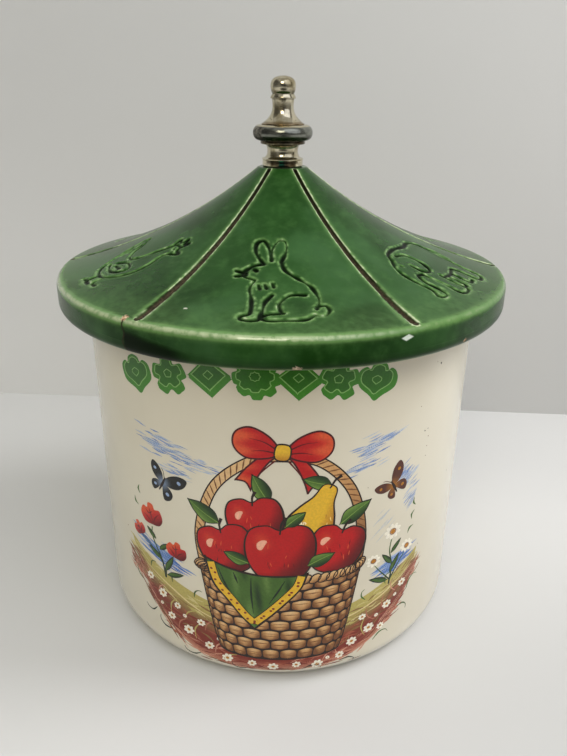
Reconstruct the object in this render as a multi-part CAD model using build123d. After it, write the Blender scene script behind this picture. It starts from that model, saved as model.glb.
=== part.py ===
from build123d import *
import os

# A round stoneware biscuit jar with a tent-shaped lid and a stacked metal finial.
# Millimetres. The floor under the jar is z = 0, the axis of everything round is Z, and the front is -Y.

# Jar body
jar_diameter = 189.4
jar_height = 171.0
jar_wall = 6.5
jar_floor = 8.0
jar_bottom_round = 13.0
jar_inside_round = 9.0
jar_rim_round = 2.2
foot_ring_width = 7.0
foot_recess = 2.5

# Lid: a rim band, a hollow roof that sags inwards, and a locating flange inside the jar's mouth
lid_diameter = 216.0
lid_rim_height = 13.6
lid_rim_top_round = 3.2
lid_rim_bottom_round = 3.6
lid_skirt_drop = 3.2          # the rim band hangs this far below the jar's mouth
lid_seat_margin = 1.6         # flat seat beyond the jar's outside
lid_roof_rise = 46.8          # from the rim's top edge to the crown
lid_roof_sink = 12.2          # how far the roof's control point lies below the straight slope
lid_crown_diameter = 23.0
lid_crown_round = 1.2
lid_crown_thickness = 8.0
lid_wall = 7.0                # measured straight down through the roof
flange_depth = 8.0
flange_wall = 5.0
flange_clearance = 1.6        # on the radius, to the jar's inside
flange_round = 1.8
stud_hole_diameter = 6.2

# Grooves that divide the roof into panels
groove_count = 6
groove_width = 1.7
groove_depth = 1.2
groove_phase = -1.0           # degrees that the pattern is turned from square to the front
groove_crown_gap = 1.2        # plain roof between the crown and a groove
groove_rim_gap = 2.6          # plain roof between a groove and the rim's outside

# Finial, from the crown upwards
cushion_diameter = 18.2
cushion_thickness = 0.5
collar_diameter = 19.0
collar_height = 2.7
collar_chamfer = 0.25
spool_foot_diameter = 19.2
spool_foot_height = 0.6
spool_waist_diameter = 14.4
spool_cove_height = 6.4
spool_lip_diameter = 20.9
spool_lip_height = 1.6
spool_lip_step = 0.8          # flat shoulder between the cove and the lip
grip_diameter = 27.8
grip_lower_height = 3.3
grip_upper_height = 3.5
grip_foot_diameter = 22.4
grip_top_diameter = 21.4
bell_foot_diameter = 19.8
bell_foot_height = 0.6
bell_skirt_diameter = 18.8
bell_cove_height = 7.2
neck_diameter = 9.8
neck_height = 3.3
neck_top_diameter = 10.3
check_diameter = 11.6
check_edge_height = 0.6
check_cone_height = 1.2
check_top_diameter = 10.2
ball_neck_diameter = 9.9
ball_diameter = 11.6
ball_lower_height = 3.7
ball_upper_height = 4.1
ball_fullness = 0.64          # 0.55 would be an ellipse, more is squarer

# Rod, nut and washers that hold the finial to the lid
rod_diameter = 4.17
rod_end_chamfer = 0.4
rod_below_nut = 4.0
rod_in_cap = 4.2
cap_bore_spare = 0.4          # empty end of the cap's blind bore
plain_clearance = 0.16        # on the radius, where the rod passes through
thread_clearance = 0.03       # on the radius, where the rod is screwed in
fibre_washer_diameter = 19.0
fibre_washer_thickness = 1.6
steel_washer_diameter = 16.0
steel_washer_thickness = 1.2
nut_across_flats = 8.73
nut_thickness = 3.2
nut_corner_chamfer = 0.4

# Levels and radii that follow from the sizes above
jar_radius = jar_diameter / 2
jar_bore_radius = jar_radius - jar_wall
foot_outer_radius = jar_radius - jar_bottom_round
foot_inner_radius = foot_outer_radius - foot_ring_width
lid_radius = lid_diameter / 2
lid_bottom = jar_height - lid_skirt_drop
lid_rim_top = lid_bottom + lid_rim_height
lid_top = lid_rim_top + lid_roof_rise
lid_ceiling = lid_top - lid_crown_thickness
crown_radius = lid_crown_diameter / 2
flange_bottom = jar_height - flange_depth
flange_outer_radius = jar_bore_radius - flange_clearance
flange_inner_radius = flange_outer_radius - flange_wall
seat_radius = jar_radius + lid_seat_margin

cushion_top = lid_top + cushion_thickness
collar_top = cushion_top + collar_height
spool_cove_bottom = collar_top + spool_foot_height
spool_cove_top = spool_cove_bottom + spool_cove_height
spool_top = spool_cove_top + spool_lip_height
grip_middle = spool_top + grip_lower_height
grip_top = grip_middle + grip_upper_height
bell_cove_bottom = grip_top + bell_foot_height
bell_cove_top = bell_cove_bottom + bell_cove_height
bell_top = bell_cove_top + neck_height
check_top = bell_top + check_edge_height + check_cone_height
ball_middle = check_top + ball_lower_height
ball_top = ball_middle + ball_upper_height

rod_radius = rod_diameter / 2
plain_bore = rod_radius + plain_clearance
thread_bore = rod_radius + thread_clearance
rod_top = check_top + rod_in_cap
cap_bore_top = rod_top + cap_bore_spare
fibre_bottom = lid_ceiling - fibre_washer_thickness
steel_bottom = fibre_bottom - steel_washer_thickness
nut_bottom = steel_bottom - nut_thickness
rod_bottom = nut_bottom - rod_below_nut


def at(radius, height):
    """A point of a half profile in the XZ plane."""
    return Vector(radius, 0, height)


def outline(*points):
    """The straight edges through a row of profile points."""
    return [Line(first, second) for first, second in zip(points, points[1:])]


def quarter(start, corner, end, fullness=0.55):
    """A rounded quarter turn from start to end that leans towards a corner."""
    return Bezier(start, start + (corner - start) * fullness, end + (corner - end) * fullness, end)


def turned(*edges):
    """A solid of revolution about Z from the edges of its closed half profile."""
    return revolve(make_face(edges), axis=Axis.Z)


def disc(radius, bottom, top):
    return Pos(0, 0, bottom) * Cylinder(radius, top - bottom, align=(Align.CENTER, Align.CENTER, Align.MIN))


def ring(outer_radius, inner_radius, bottom, top):
    return disc(outer_radius, bottom, top) - disc(inner_radius, bottom, top)


def circles(solid, radius, height):
    """The round edges of a solid at one radius and height."""
    near = 0.01
    return ShapeList(edge for edge in solid.edges().filter_by(GeomType.CIRCLE)
                     if abs(edge.radius - radius) < near and abs(edge.arc_center.Z - height) < near)


# Jar body

def make_jar_body():
    body = disc(jar_radius, 0, jar_height)
    body = fillet(circles(body, jar_radius, 0), jar_bottom_round)
    cavity = disc(jar_bore_radius, jar_floor, jar_height)
    body -= fillet(circles(cavity, jar_bore_radius, jar_floor), jar_inside_round)
    rim = circles(body, jar_radius, jar_height) + circles(body, jar_bore_radius, jar_height)
    body = fillet(rim, min(jar_rim_round, 0.4 * jar_wall))
    return body - disc(foot_inner_radius, 0, foot_recess)


# Lid

def under_roof(drop):
    """Everything under the roof's outside, lowered by a drop, down to the rim's underside."""
    eaves = at(lid_radius, lid_rim_top - drop)
    crown_edge = at(crown_radius, lid_top - drop)
    slope = (crown_edge - eaves).normalized()
    inwards = Vector(-slope.Z, 0, slope.X)
    roof = Bezier(eaves, (eaves + crown_edge) / 2 + inwards * lid_roof_sink, crown_edge)
    walls = outline(crown_edge, at(0, lid_top - drop), at(0, lid_bottom), at(lid_radius, lid_bottom), eaves)
    return turned(roof, *walls)


def make_grooves():
    slab = Box(lid_radius, groove_width, lid_top - lid_bottom, align=(Align.MIN, Align.CENTER, Align.MIN))
    span = ring(lid_radius - groove_rim_gap, crown_radius + groove_crown_gap, lid_bottom, lid_top)
    groove = Pos(0, 0, lid_bottom) * slab & span
    groove -= under_roof(groove_depth)
    step = 360 / groove_count
    return [Rot(0, 0, groove_phase - 90 + (number + 0.5) * step) * groove for number in range(groove_count)]


def make_lid():
    lid = under_roof(0)
    lid = fillet(circles(lid, lid_radius, lid_rim_top), lid_rim_top_round)
    lid = fillet(circles(lid, lid_radius, lid_bottom), lid_rim_bottom_round)
    lid = fillet(circles(lid, crown_radius, lid_top), lid_crown_round)
    lid -= disc(seat_radius, lid_bottom, jar_height)
    flange = disc(flange_outer_radius, flange_bottom, jar_height)
    lid += fillet(circles(flange, flange_outer_radius, flange_bottom), min(flange_round, 0.4 * flange_wall))
    lid -= disc(flange_inner_radius, flange_bottom, jar_height)
    lid -= under_roof(lid_wall) & disc(flange_inner_radius, lid_bottom, lid_ceiling)
    lid -= disc(stud_hole_diameter / 2, lid_ceiling, lid_top)
    for groove in make_grooves():
        lid -= groove
    return lid


# Finial pieces, in the order in which they are threaded over the rod

def make_cushion_washer():
    return ring(cushion_diameter / 2, plain_bore, lid_top, cushion_top)


def make_collar():
    radius = collar_diameter / 2
    collar = ring(radius, plain_bore, cushion_top, collar_top)
    return chamfer(circles(collar, radius, cushion_top) + circles(collar, radius, collar_top), collar_chamfer)


def make_lower_spool():
    foot_radius = spool_foot_diameter / 2
    lip_radius = spool_lip_diameter / 2
    waist_radius = spool_waist_diameter / 2
    waist_level = (spool_cove_bottom + spool_cove_top) / 2
    foot = at(foot_radius, spool_cove_bottom)
    shoulder = at(lip_radius - spool_lip_step, spool_cove_top)
    waist = at(waist_radius, waist_level)
    lower_cove = quarter(foot, at(waist_radius, spool_cove_bottom), waist, 0.7)
    upper_cove = quarter(waist, at(waist_radius, spool_cove_top), shoulder, 0.7)
    walls = outline(shoulder, at(lip_radius, spool_cove_top), at(lip_radius, spool_top),
                    at(plain_bore, spool_top), at(plain_bore, collar_top), at(foot_radius, collar_top), foot)
    return turned(lower_cove, upper_cove, *walls)


def make_grip_ring():
    foot = at(grip_foot_diameter / 2, spool_top)
    widest = at(grip_diameter / 2, grip_middle)
    top = at(grip_top_diameter / 2, grip_top)
    lower_bulge = quarter(foot, at(widest.X, foot.Z), widest)
    upper_bulge = quarter(widest, at(widest.X, top.Z), top)
    walls = outline(top, at(plain_bore, grip_top), at(plain_bore, spool_top), foot)
    return turned(lower_bulge, upper_bulge, *walls)


def make_bell_neck():
    foot_radius = bell_foot_diameter / 2
    neck_radius = neck_diameter / 2
    skirt = at(bell_skirt_diameter / 2, bell_cove_bottom)
    neck = at(neck_radius, bell_cove_top)
    top = at(neck_top_diameter / 2, bell_top)
    skirt_lean = Vector((neck_radius - skirt.X) / 2, 0, bell_cove_height / 4)
    cove = Bezier(skirt, skirt + skirt_lean, neck - Vector(0, 0, bell_cove_height / 2), neck)
    flare = Bezier(neck, at(neck_radius, (neck.Z + top.Z) / 2), top)
    walls = outline(top, at(plain_bore, bell_top), at(plain_bore, grip_top), at(foot_radius, grip_top),
                    at(foot_radius, bell_cove_bottom), skirt)
    return turned(cove, flare, *walls)


def make_check_ring():
    radius = check_diameter / 2
    return turned(*outline(at(plain_bore, bell_top), at(radius, bell_top),
                           at(radius, bell_top + check_edge_height), at(check_top_diameter / 2, check_top),
                           at(plain_bore, check_top), at(plain_bore, bell_top)))


def make_ball_cap():
    radius = ball_diameter / 2
    neck = at(ball_neck_diameter / 2, check_top)
    widest = at(radius, ball_middle)
    pole = at(0, ball_top)
    swell = Bezier(neck, neck + Vector(0, 0, ball_lower_height / 6),
                   at(radius, ball_middle - ball_lower_height * 0.7), widest)
    dome = quarter(widest, at(radius, ball_top), pole, ball_fullness)
    walls = outline(pole, at(0, cap_bore_top), at(thread_bore, cap_bore_top), at(thread_bore, check_top), neck)
    return turned(swell, dome, *walls)


# Rod and fixings under the lid

def make_threaded_rod():
    rod = disc(rod_radius, rod_bottom, rod_top)
    return chamfer(circles(rod, rod_radius, rod_bottom) + circles(rod, rod_radius, rod_top), rod_end_chamfer)


def make_fibre_washer():
    return ring(fibre_washer_diameter / 2, plain_bore, fibre_bottom, lid_ceiling)


def make_steel_washer():
    return ring(steel_washer_diameter / 2, plain_bore, steel_bottom, fibre_bottom)


def make_lock_nut():
    hexagon = RegularPolygon(nut_across_flats / 2, 6, major_radius=False)
    corner_radius = nut_across_flats / 3 ** 0.5
    envelope = disc(corner_radius, nut_bottom, steel_bottom)
    rims = circles(envelope, corner_radius, nut_bottom) + circles(envelope, corner_radius, steel_bottom)
    envelope = chamfer(rims, nut_corner_chamfer)
    nut = Pos(0, 0, nut_bottom) * extrude(hexagon, nut_thickness) & envelope
    return nut - disc(thread_bore, nut_bottom, steel_bottom)


pieces = {
    "jar_body": make_jar_body,
    "lid": make_lid,
    "finial_cushion_washer": make_cushion_washer,
    "finial_base_collar": make_collar,
    "finial_lower_spool": make_lower_spool,
    "finial_grip_ring": make_grip_ring,
    "finial_bell_neck": make_bell_neck,
    "finial_check_ring": make_check_ring,
    "finial_ball_cap": make_ball_cap,
    "threaded_rod": make_threaded_rod,
    "inner_fibre_washer": make_fibre_washer,
    "inner_steel_washer": make_steel_washer,
    "lock_nut": make_lock_nut,
}

os.makedirs("parts", exist_ok=True)
for name, make in pieces.items():
    export_step(make(), f"parts/{name}.step")
print(f"{len(pieces)} pieces, {lid_diameter:.1f} mm across and {ball_top:.1f} mm high")
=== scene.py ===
import math
import random

import bmesh
import bpy
import numpy as np
from mathutils import Matrix, Vector, geometry, noise


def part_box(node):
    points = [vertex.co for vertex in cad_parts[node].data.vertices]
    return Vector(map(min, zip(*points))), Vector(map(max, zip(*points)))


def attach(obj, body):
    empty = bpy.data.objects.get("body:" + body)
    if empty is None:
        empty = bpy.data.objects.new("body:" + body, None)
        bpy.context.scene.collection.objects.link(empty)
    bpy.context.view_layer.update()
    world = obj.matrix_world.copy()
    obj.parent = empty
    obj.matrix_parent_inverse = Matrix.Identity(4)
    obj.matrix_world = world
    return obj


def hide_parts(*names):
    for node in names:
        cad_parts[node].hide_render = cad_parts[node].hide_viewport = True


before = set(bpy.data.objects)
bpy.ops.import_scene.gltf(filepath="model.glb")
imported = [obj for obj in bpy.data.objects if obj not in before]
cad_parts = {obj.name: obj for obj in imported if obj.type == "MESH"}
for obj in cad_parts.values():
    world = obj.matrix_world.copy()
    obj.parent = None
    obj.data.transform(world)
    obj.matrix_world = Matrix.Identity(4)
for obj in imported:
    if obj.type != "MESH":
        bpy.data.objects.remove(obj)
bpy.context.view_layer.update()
mm = 0.001


# Shared helpers. Everything is modelled in millimetres and scaled once, when a piece is finished.

# a node's lowest level, its highest level and its radius
def sizesOf(node):
    low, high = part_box(node)
    return low.z / mm, high.z / mm, high.x / mm


# points on a quadratic or cubic curve, both ends included
def bezier(points, steps):
    order = len(points) - 1
    weights = [math.comb(order, k) for k in range(order + 1)]
    row = []
    for step in range(steps + 1):
        t = step / steps
        factors = [w * t ** k * (1 - t) ** (order - k) for k, w in enumerate(weights)]
        row.append(tuple(sum(f * p[axis] for f, p in zip(factors, points)) for axis in (0, 1)))
    return row


def quarter(start, corner, end, fullness=0.55, steps=10):
    first = [s + (c - s) * fullness for s, c in zip(start, corner)]
    second = [e + (c - e) * fullness for e, c in zip(end, corner)]
    return bezier([start, first, second, end], steps)


# spins a half profile about Z; a corner is (radius, level) or (radius, level, rounding, rounding steps)
def profileMesh(corners, segments, closed=False):
    bm = bmesh.new()
    verts = [bm.verts.new((c[0], 0, c[1])) for c in corners]
    loop = verts + verts[:1] if closed else verts
    for a, b in zip(loop, loop[1:]):
        bm.edges.new((a, b))
    for vert, corner in zip(verts, corners):
        if len(corner) > 2:
            bmesh.ops.bevel(bm, geom=[vert], offset=corner[2], segments=corner[3] if len(corner) > 3 else 5,
                            profile=0.5, affect="VERTICES", material=-1)
    bmesh.ops.spin(bm, geom=bm.verts[:] + bm.edges[:], cent=(0, 0, 0), axis=(0, 0, 1), angle=math.tau,
                   steps=segments, use_merge=True, use_duplicate=False)
    bmesh.ops.remove_doubles(bm, verts=bm.verts, dist=0.002)
    bmesh.ops.recalc_face_normals(bm, faces=bm.faces)
    return bm


def finishPiece(bm, name, body, materials, replaces=None, sharp=35):
    bmesh.ops.scale(bm, vec=(mm, mm, mm), verts=bm.verts)
    mesh = bpy.data.meshes.new(name)
    bm.to_mesh(mesh)
    bm.free()
    mesh.polygons.foreach_set("use_smooth", [True] * len(mesh.polygons))
    mesh.set_sharp_from_angle(angle=math.radians(sharp))
    for material in materials:
        mesh.materials.append(material)
    piece = bpy.data.objects.new(name, mesh)
    bpy.context.scene.collection.objects.link(piece)
    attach(piece, body)
    if replaces:
        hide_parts(replaces)
    return piece


# a node tree, with short ways to add and join nodes
class NodeTree:
    def __init__(self, owner):
        owner.use_nodes = True
        self.tree = owner.node_tree

    def add(self, kind, inputs=None, **settings):
        node = self.tree.nodes.new("ShaderNode" + kind)
        for key, value in settings.items():
            setattr(node, key, value)
        for key, value in (inputs or {}).items():
            self.put(node.inputs[key], value)
        return node

    def put(self, socket, value):
        if isinstance(value, bpy.types.NodeSocket):
            self.tree.links.new(value, socket)
        else:
            socket.default_value = value

    def coords(self, kind="Object"):
        return self.add("TexCoord").outputs[kind]

    def attribute(self, name, output="Fac"):
        return self.add("Attribute", attribute_name=name).outputs[output]

    def noise(self, scale, detail=3, roughness=0.5, stretch=None):
        where = self.coords()
        if stretch:
            where = self.add("Mapping", {"Vector": where, "Scale": stretch}).outputs[0]
        return self.add("TexNoise", {"Vector": where, "Scale": scale, "Detail": detail,
                                     "Roughness": roughness}).outputs["Fac"]

    def spread(self, value, low, high, toLow=0.0, toHigh=1.0, smooth=True):
        return self.add("MapRange", {"Value": value, "From Min": low, "From Max": high, "To Min": toLow,
                                     "To Max": toHigh},
                        interpolation_type="SMOOTHSTEP" if smooth else "LINEAR").outputs[0]

    def math(self, operation, a, b):
        return self.add("Math", {0: a, 1: b}, operation=operation).outputs[0]

    def mix(self, factor, a, b, blend="MIX"):
        node = self.add("Mix", data_type="RGBA", blend_type=blend)
        for socket, value in ((node.inputs[0], factor), (node.inputs[6], a), (node.inputs[7], b)):
            self.put(socket, value)
        return node.outputs[2]

    def bump(self, height, distance, strength, after=None):
        inputs = {"Height": height, "Distance": distance, "Strength": strength}
        if after:
            inputs["Normal"] = after
        return self.add("Bump", inputs).outputs[0]


# a material with one surface shader
class Shader(NodeTree):
    def __init__(self, name):
        self.material = bpy.data.materials.new(name)
        super().__init__(self.material)
        self.surface = self.tree.nodes["Principled BSDF"]

    def set(self, **sockets):
        names = {"color": "Base Color", "roughness": "Roughness", "metallic": "Metallic", "ior": "IOR",
                 "coat": "Coat Weight", "coatRoughness": "Coat Roughness", "coatIor": "Coat IOR",
                 "normal": "Normal", "tint": "Specular Tint"}
        for key, value in sockets.items():
            self.put(self.surface.inputs[names[key]], value)

    # painted shade and painted dark reflection lie where a piece's own layer says, in patches
    def grime(self):
        return self.math("MULTIPLY", self.attribute("grime"),
                         self.spread(self.noise(500, 3, 0.6), 0.25, 0.6, 0.6, 1.0))


# a colour from display values of 0 to 255
def rgb(red, green, blue):
    shown = [c / 255 for c in (red, green, blue)]
    return tuple(c / 12.92 if c < 0.04 else ((c + 0.055) / 1.055) ** 2.4 for c in shown) + (1,)


# Materials, each with the colours that it is mixed from

creamColors = {"glaze": rgb(221, 214, 193), "cloud": rgb(214, 206, 184), "pinhole": rgb(96, 74, 48)}


# slow waves and a fine peel in the clear glaze, over the wall and the print alike
def clearGlazeBump(s):
    waves = s.bump(s.noise(22, 2), 0.0016, 0.22)
    return s.bump(s.noise(260, 2), 0.00004, 0.35, waves)


def makeCreamGlaze():
    s = Shader("creamGlaze")
    color = s.mix(s.spread(s.noise(14, 4), 0.35, 0.7), creamColors["glaze"], creamColors["cloud"])
    cell = s.add("TexVoronoi", {"Vector": s.coords(), "Scale": 75.0})
    chosen = s.math("GREATER_THAN", s.add("SeparateColor", {0: cell.outputs["Color"]}).outputs[0], 0.7)
    pinhole = s.math("MULTIPLY", s.spread(cell.outputs["Distance"], 0.026, 0.012), chosen)
    s.set(color=s.mix(pinhole, color, creamColors["pinhole"]), roughness=0.2, ior=1.52,
          normal=clearGlazeBump(s), coat=0.4, coatRoughness=0.05)
    return s.material


# printed colours lie in the clear glaze, so they shine as the wall does
def makePrintInk():
    s = Shader("printInk")
    grain = s.spread(s.noise(1100, 2), 0.3, 0.7, 0.90, 1.06)
    grey = s.add("CombineColor", {0: grain, 1: grain, 2: grain}).outputs[0]
    s.set(color=s.mix(1.0, s.attribute("ink", "Color"), grey, "MULTIPLY"), roughness=0.2, ior=1.38,
          normal=clearGlazeBump(s), coat=0.1, coatRoughness=0.05)
    return s.material


clayColors = {"body": rgb(222, 208, 182), "shade": rgb(203, 184, 154), "grit": rgb(170, 140, 104)}


def makeBareClay():
    s = Shader("bareClay")
    grit = s.noise(1400, 4)
    color = s.mix(s.spread(s.noise(60, 3), 0.3, 0.7), clayColors["body"], clayColors["shade"])
    color = s.mix(s.spread(grit, 0.62, 0.72), color, clayColors["grit"])
    s.set(color=color, roughness=0.85, normal=s.bump(grit, 0.0001, 0.6))
    return s.material


greenColors = {"deep": rgb(19, 50, 12), "body": rgb(39, 76, 31), "cloud": rgb(55, 91, 51),
               "mottle": rgb(66, 106, 53), "thin": rgb(108, 146, 84), "edge": rgb(194, 206, 164),
               "pool": rgb(3, 12, 1), "soil": rgb(76, 64, 52), "paleFlakeAndGlint": rgb(210, 220, 206),
               "clay": rgb(212, 182, 150), "dirtyClay": rgb(128, 84, 54)}


# glazeMap: red where the glaze thins on an edge, green where it pools, blue where it is chipped off, where
# one flat chip's white is a painted glint
# soil: brown dirt that has stayed in a groove or on a chip
def makeGreenGlaze():
    s = Shader("greenGlaze")
    thinned, pooled, chippedAndGlint = s.add("SeparateColor", {0: s.attribute("glazeMap", "Color")}).outputs[:3]
    soil = s.attribute("soil")
    mottle = s.noise(160, 3, 0.6)
    color = s.mix(s.spread(s.noise(18, 4, 0.55), 0.36, 0.66), greenColors["deep"], greenColors["body"])
    color = s.mix(s.spread(s.noise(34, 3), 0.48, 0.74, 0.0, 0.7), color, greenColors["cloud"])
    color = s.mix(s.spread(mottle, 0.4, 0.8, 0.0, 0.34), color, greenColors["mottle"])
    thin = s.math("MULTIPLY", thinned, s.spread(s.noise(420, 2), 0.2, 0.6, 0.7, 1.0))
    color = s.mix(s.spread(thin, 0.0, 0.45, 0.0, 0.75), color, greenColors["thin"])
    color = s.mix(s.spread(thin, 0.4, 1.0), color, greenColors["edge"])
    grit = s.noise(900, 3, 0.6)
    soiled = s.math("MULTIPLY", soil, s.spread(grit, 0.3, 0.7, 0.35, 1.0))
    color = s.mix(pooled, color, s.mix(soiled, greenColors["pool"], greenColors["soil"]))
    clay = s.mix(s.spread(grit, 0.35, 0.65), greenColors["clay"], greenColors["dirtyClay"])
    # soiled chips show clay; the flat unsoiled chip shows near-white, a painted glint
    color = s.mix(chippedAndGlint, color, s.mix(soil, greenColors["paleFlakeAndGlint"], clay))
    waves = s.bump(s.noise(30, 2), 0.0012, 0.11)
    dull = s.math("MAXIMUM", chippedAndGlint, s.math("MULTIPLY", pooled, s.spread(soil, 0, 0.5, 0.3, 0.9)))
    shine = s.math("MULTIPLY", s.spread(thin, 0.25, 0.7, 0.06, 0.9), s.spread(pooled, 0, 0.6, 1, 0))
    s.set(color=color, roughness=s.spread(dull, 0.0, 1.0, 0.26, 0.75, smooth=False), ior=1.27,
          tint=(0.16, 0.40, 0.12, 1), normal=s.bump(mottle, 0.00006, 0.25, waves),
          coat=s.math("MULTIPLY", shine, s.spread(chippedAndGlint, 0, 1, 1, 0)), coatRoughness=0.03, coatIor=1.7)
    return s.material


plateColors = {"scuff": rgb(66, 54, 34), "wornAndReflected": rgb(122, 96, 58), "grime": rgb(58, 46, 26),
               "verdigris": rgb(24, 92, 74)}


# thin pale plating, tarnished in patches and finely scratched
def makePlate(name, light, dark, roughness=0.14):
    s = Shader(name)
    tarnish = s.spread(s.noise(170, 4, 0.6), 0.42, 0.68)
    color = s.mix(tarnish, light, dark)
    color = s.mix(s.spread(s.noise(900, 2), 0.66, 0.74), color, plateColors["scuff"])
    # brown where the plating is worn, and on the collar a painted red-brown reflection
    color = s.mix(s.spread(s.attribute("wear"), 0, 1, 0, 0.7), color, plateColors["wornAndReflected"])
    # the darkest colour paints shade and dark reflections under lips, rings and the ball, and across the
    # collar's front
    color = s.mix(s.grime(), color, plateColors["grime"])
    # a teal streak on the collar, painted as a reflection
    color = s.mix(s.attribute("verdigris"), color, plateColors["verdigris"])
    s.set(color=color, metallic=1.0, roughness=s.spread(tarnish, 0, 1, roughness, roughness + 0.12),
          normal=s.bump(s.noise(500, 2, 0.5, (1, 1, 6)), 0.00003, 0.25))
    return s.material


ringColors = {"plate": rgb(204, 194, 164), "smooth": rgb(146, 148, 138), "shade": rgb(116, 118, 110),
              "rough": rgb(168, 164, 152), "pit": rgb(84, 82, 76), "grime": rgb(40, 34, 24)}


# plating worn through to smooth grey metal on the bulge (wear 0.5), and pitted and matt on one side (wear 1)
def makeWornRing():
    s = Shader("wornRing")
    patchy = s.math("ADD", s.attribute("wear"), s.spread(s.noise(420, 4, 0.65), 0.3, 0.7, -0.16, 0.16))
    wornAndReflected = s.spread(patchy, 0.16, 0.36)
    pitted = s.spread(patchy, 0.66, 0.84)
    streaks = s.spread(s.noise(360, 3, 0.6, (1, 1, 3)), 0.4, 0.7)
    smooth = s.mix(streaks, ringColors["smooth"], ringColors["shade"])
    mottled = s.mix(s.spread(s.noise(800, 4, 0.7), 0.4, 0.62), ringColors["rough"], ringColors["pit"])
    color = s.mix(wornAndReflected, ringColors["plate"], s.mix(pitted, smooth, mottled))
    # the darkest colour paints shade on the ring's underside
    s.set(color=s.mix(s.grime(), color, ringColors["grime"]), metallic=1.0,
          roughness=s.math("ADD", s.spread(wornAndReflected, 0, 1, 0.16, 0.23), s.spread(pitted, 0, 1, 0, 0.32)),
          normal=s.bump(s.noise(1300, 3, 0.7), 0.00006, s.spread(pitted, 0, 1, 0.12, 0.8)))
    return s.material


zincColors = {"bright": rgb(186, 188, 188), "dull": rgb(140, 140, 136)}


def makeZincSteel():
    s = Shader("zincSteel")
    grain = s.noise(800, 3, 0.5, (1, 1, 4))
    s.set(color=s.mix(s.spread(s.noise(300, 3), 0.35, 0.7), zincColors["bright"], zincColors["dull"]),
          metallic=1.0, roughness=s.spread(grain, 0.3, 0.7, 0.3, 0.5), normal=s.bump(grain, 0.00003, 0.3))
    return s.material


fibreColors = {"body": rgb(34, 30, 26), "strand": rgb(62, 54, 44)}


def makeFibre():
    s = Shader("darkFibre")
    strands = s.noise(1500, 4, 0.6)
    s.set(color=s.mix(s.spread(strands, 0.35, 0.7), fibreColors["body"], fibreColors["strand"]),
          roughness=0.9, normal=s.bump(strands, 0.0001, 0.5))
    return s.material


creamGlaze = makeCreamGlaze()
printInk = makePrintInk()
bareClay = makeBareClay()
greenGlaze = makeGreenGlaze()
paleBrass = makePlate("paleBrass", rgb(216, 208, 182), rgb(176, 164, 130))
brightBrass = makePlate("brightBrass", rgb(224, 216, 190), rgb(196, 184, 150), 0.06)
wornRing = makeWornRing()
zincSteel = makeZincSteel()
darkFibre = makeFibre()


# Jar body

jar = {"wall": 6.5, "floor": 8.0, "bottomRound": 13.0, "insideRound": 9.0, "rimRound": 2.2, "footRing": 7.0,
       "footRecess": 2.5, "recessRound": 1.5, "footEdge": 0.7, "bareBelow": 0.25, "segments": 256}
_, jarHeight, jarRadius = sizesOf("jar_body")
jarBore = jarRadius - jar["wall"]


def makeJarBody():
    footInner = jarRadius - jar["bottomRound"] - jar["footRing"]
    bm = profileMesh([
        (0, jar["footRecess"]),
        (footInner, jar["footRecess"], jar["recessRound"]),
        (footInner, 0, jar["footEdge"]),
        (jarRadius, 0, jar["bottomRound"], 14),
        (jarRadius, jarHeight, jar["rimRound"], 8),
        (jarBore, jarHeight, jar["rimRound"], 8),
        (jarBore, jar["floor"], jar["insideRound"], 10),
        (0, jar["floor"])], jar["segments"])
    for face in bm.faces:
        face.material_index = 1 if face.calc_center_median().z < jar["bareBelow"] else 0
    finishPiece(bm, "jarBody", "jar", [creamGlaze, bareClay], "jar_body", sharp=50)


# Lid. "refine" gives each round's reach from the lines and from the chips.

lid = {"rimTopRound": 3.2, "rimTopBevel": 2.88, "rimBottomRound": 3.6, "rimHeight": 13.6, "sink": 12.2,
       "crown": 11.5, "crownRound": 0.48, "crownThickness": 8.0, "wall": 7.0, "skirtDrop": 3.2,
       "seatMargin": 1.6, "seatRound": 0.5, "flangeDepth": 8.0, "flangeWall": 5.0, "flangeClearance": 1.6,
       "flangeRound": 1.8, "flangeTopRound": 0.6, "studHole": 3.1, "glazedUnder": 5.0, "segments": 288,
       "roofSteps": 60, "atticSteps": 12, "bandSteps": 5, "refine": ((2.9, 4.2), (1.45, 2.2), (-1, 1.0))}

# The marks pressed into the roof. "pool" and "shoulder" are counted in half widths from a mark's middle; a
# pale line lies past the shoulder. "linePale" and "poolDark" give an amount and how much it varies.
groove = {"count": 6, "phase": -1.0, "halfWidth": (0.88, 1.3), "widens": (20, 90), "uneven": 0.12,
          "depth": 1.3, "start": 12.0, "end": 105.0, "pool": (1.05, 1.28), "soilTo": 1.15,
          "shoulder": 1.35, "line": 0.34, "linePale": (0.66, 0.5), "halo": 1.5, "haloPale": 0.28}
stroke = {"halfWidth": 0.62, "uneven": 0.84, "depth": 0.8, "spread": 1.15, "lip": 0.12, "lipOut": 1.7,
          "lipWidth": 0.55, "pool": (0.6, 1.7), "poolDark": (0.86, 0.5),
          "shoulder": 1.9, "line": 0.45, "linePale": (0.20, 0.6), "halo": 1.0, "haloPale": 0.15}

# glaze run thin on the rim band's edges, where the top one is paler on the left and dimmed towards the right
# as painted shade, and low on the roof
topEdge = {"inward": 0.9, "up": -0.5, "width": 1.8, "pale": 0.82, "uneven": 0.12, "paintedShadeRight": 0.3}
lowEdge = {"inward": 1.3, "up": 0.75, "width": 0.8, "pale": 0.55, "uneven": 0.4, "paintedShadeRight": 0.0}
rightward = (0, 55)
lowRoof = {"radii": (78, 103), "pale": 0.13, "uneven": 0.4}
lowBand = {"height": 7, "fade": 6, "dark": 0.4}  # the rim band darkens towards its foot
_, lidTop, lidRadius = sizesOf("lid")
lidBottom = jarHeight - lid["skirtDrop"]
rimTop = lidBottom + lid["rimHeight"]

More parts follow.
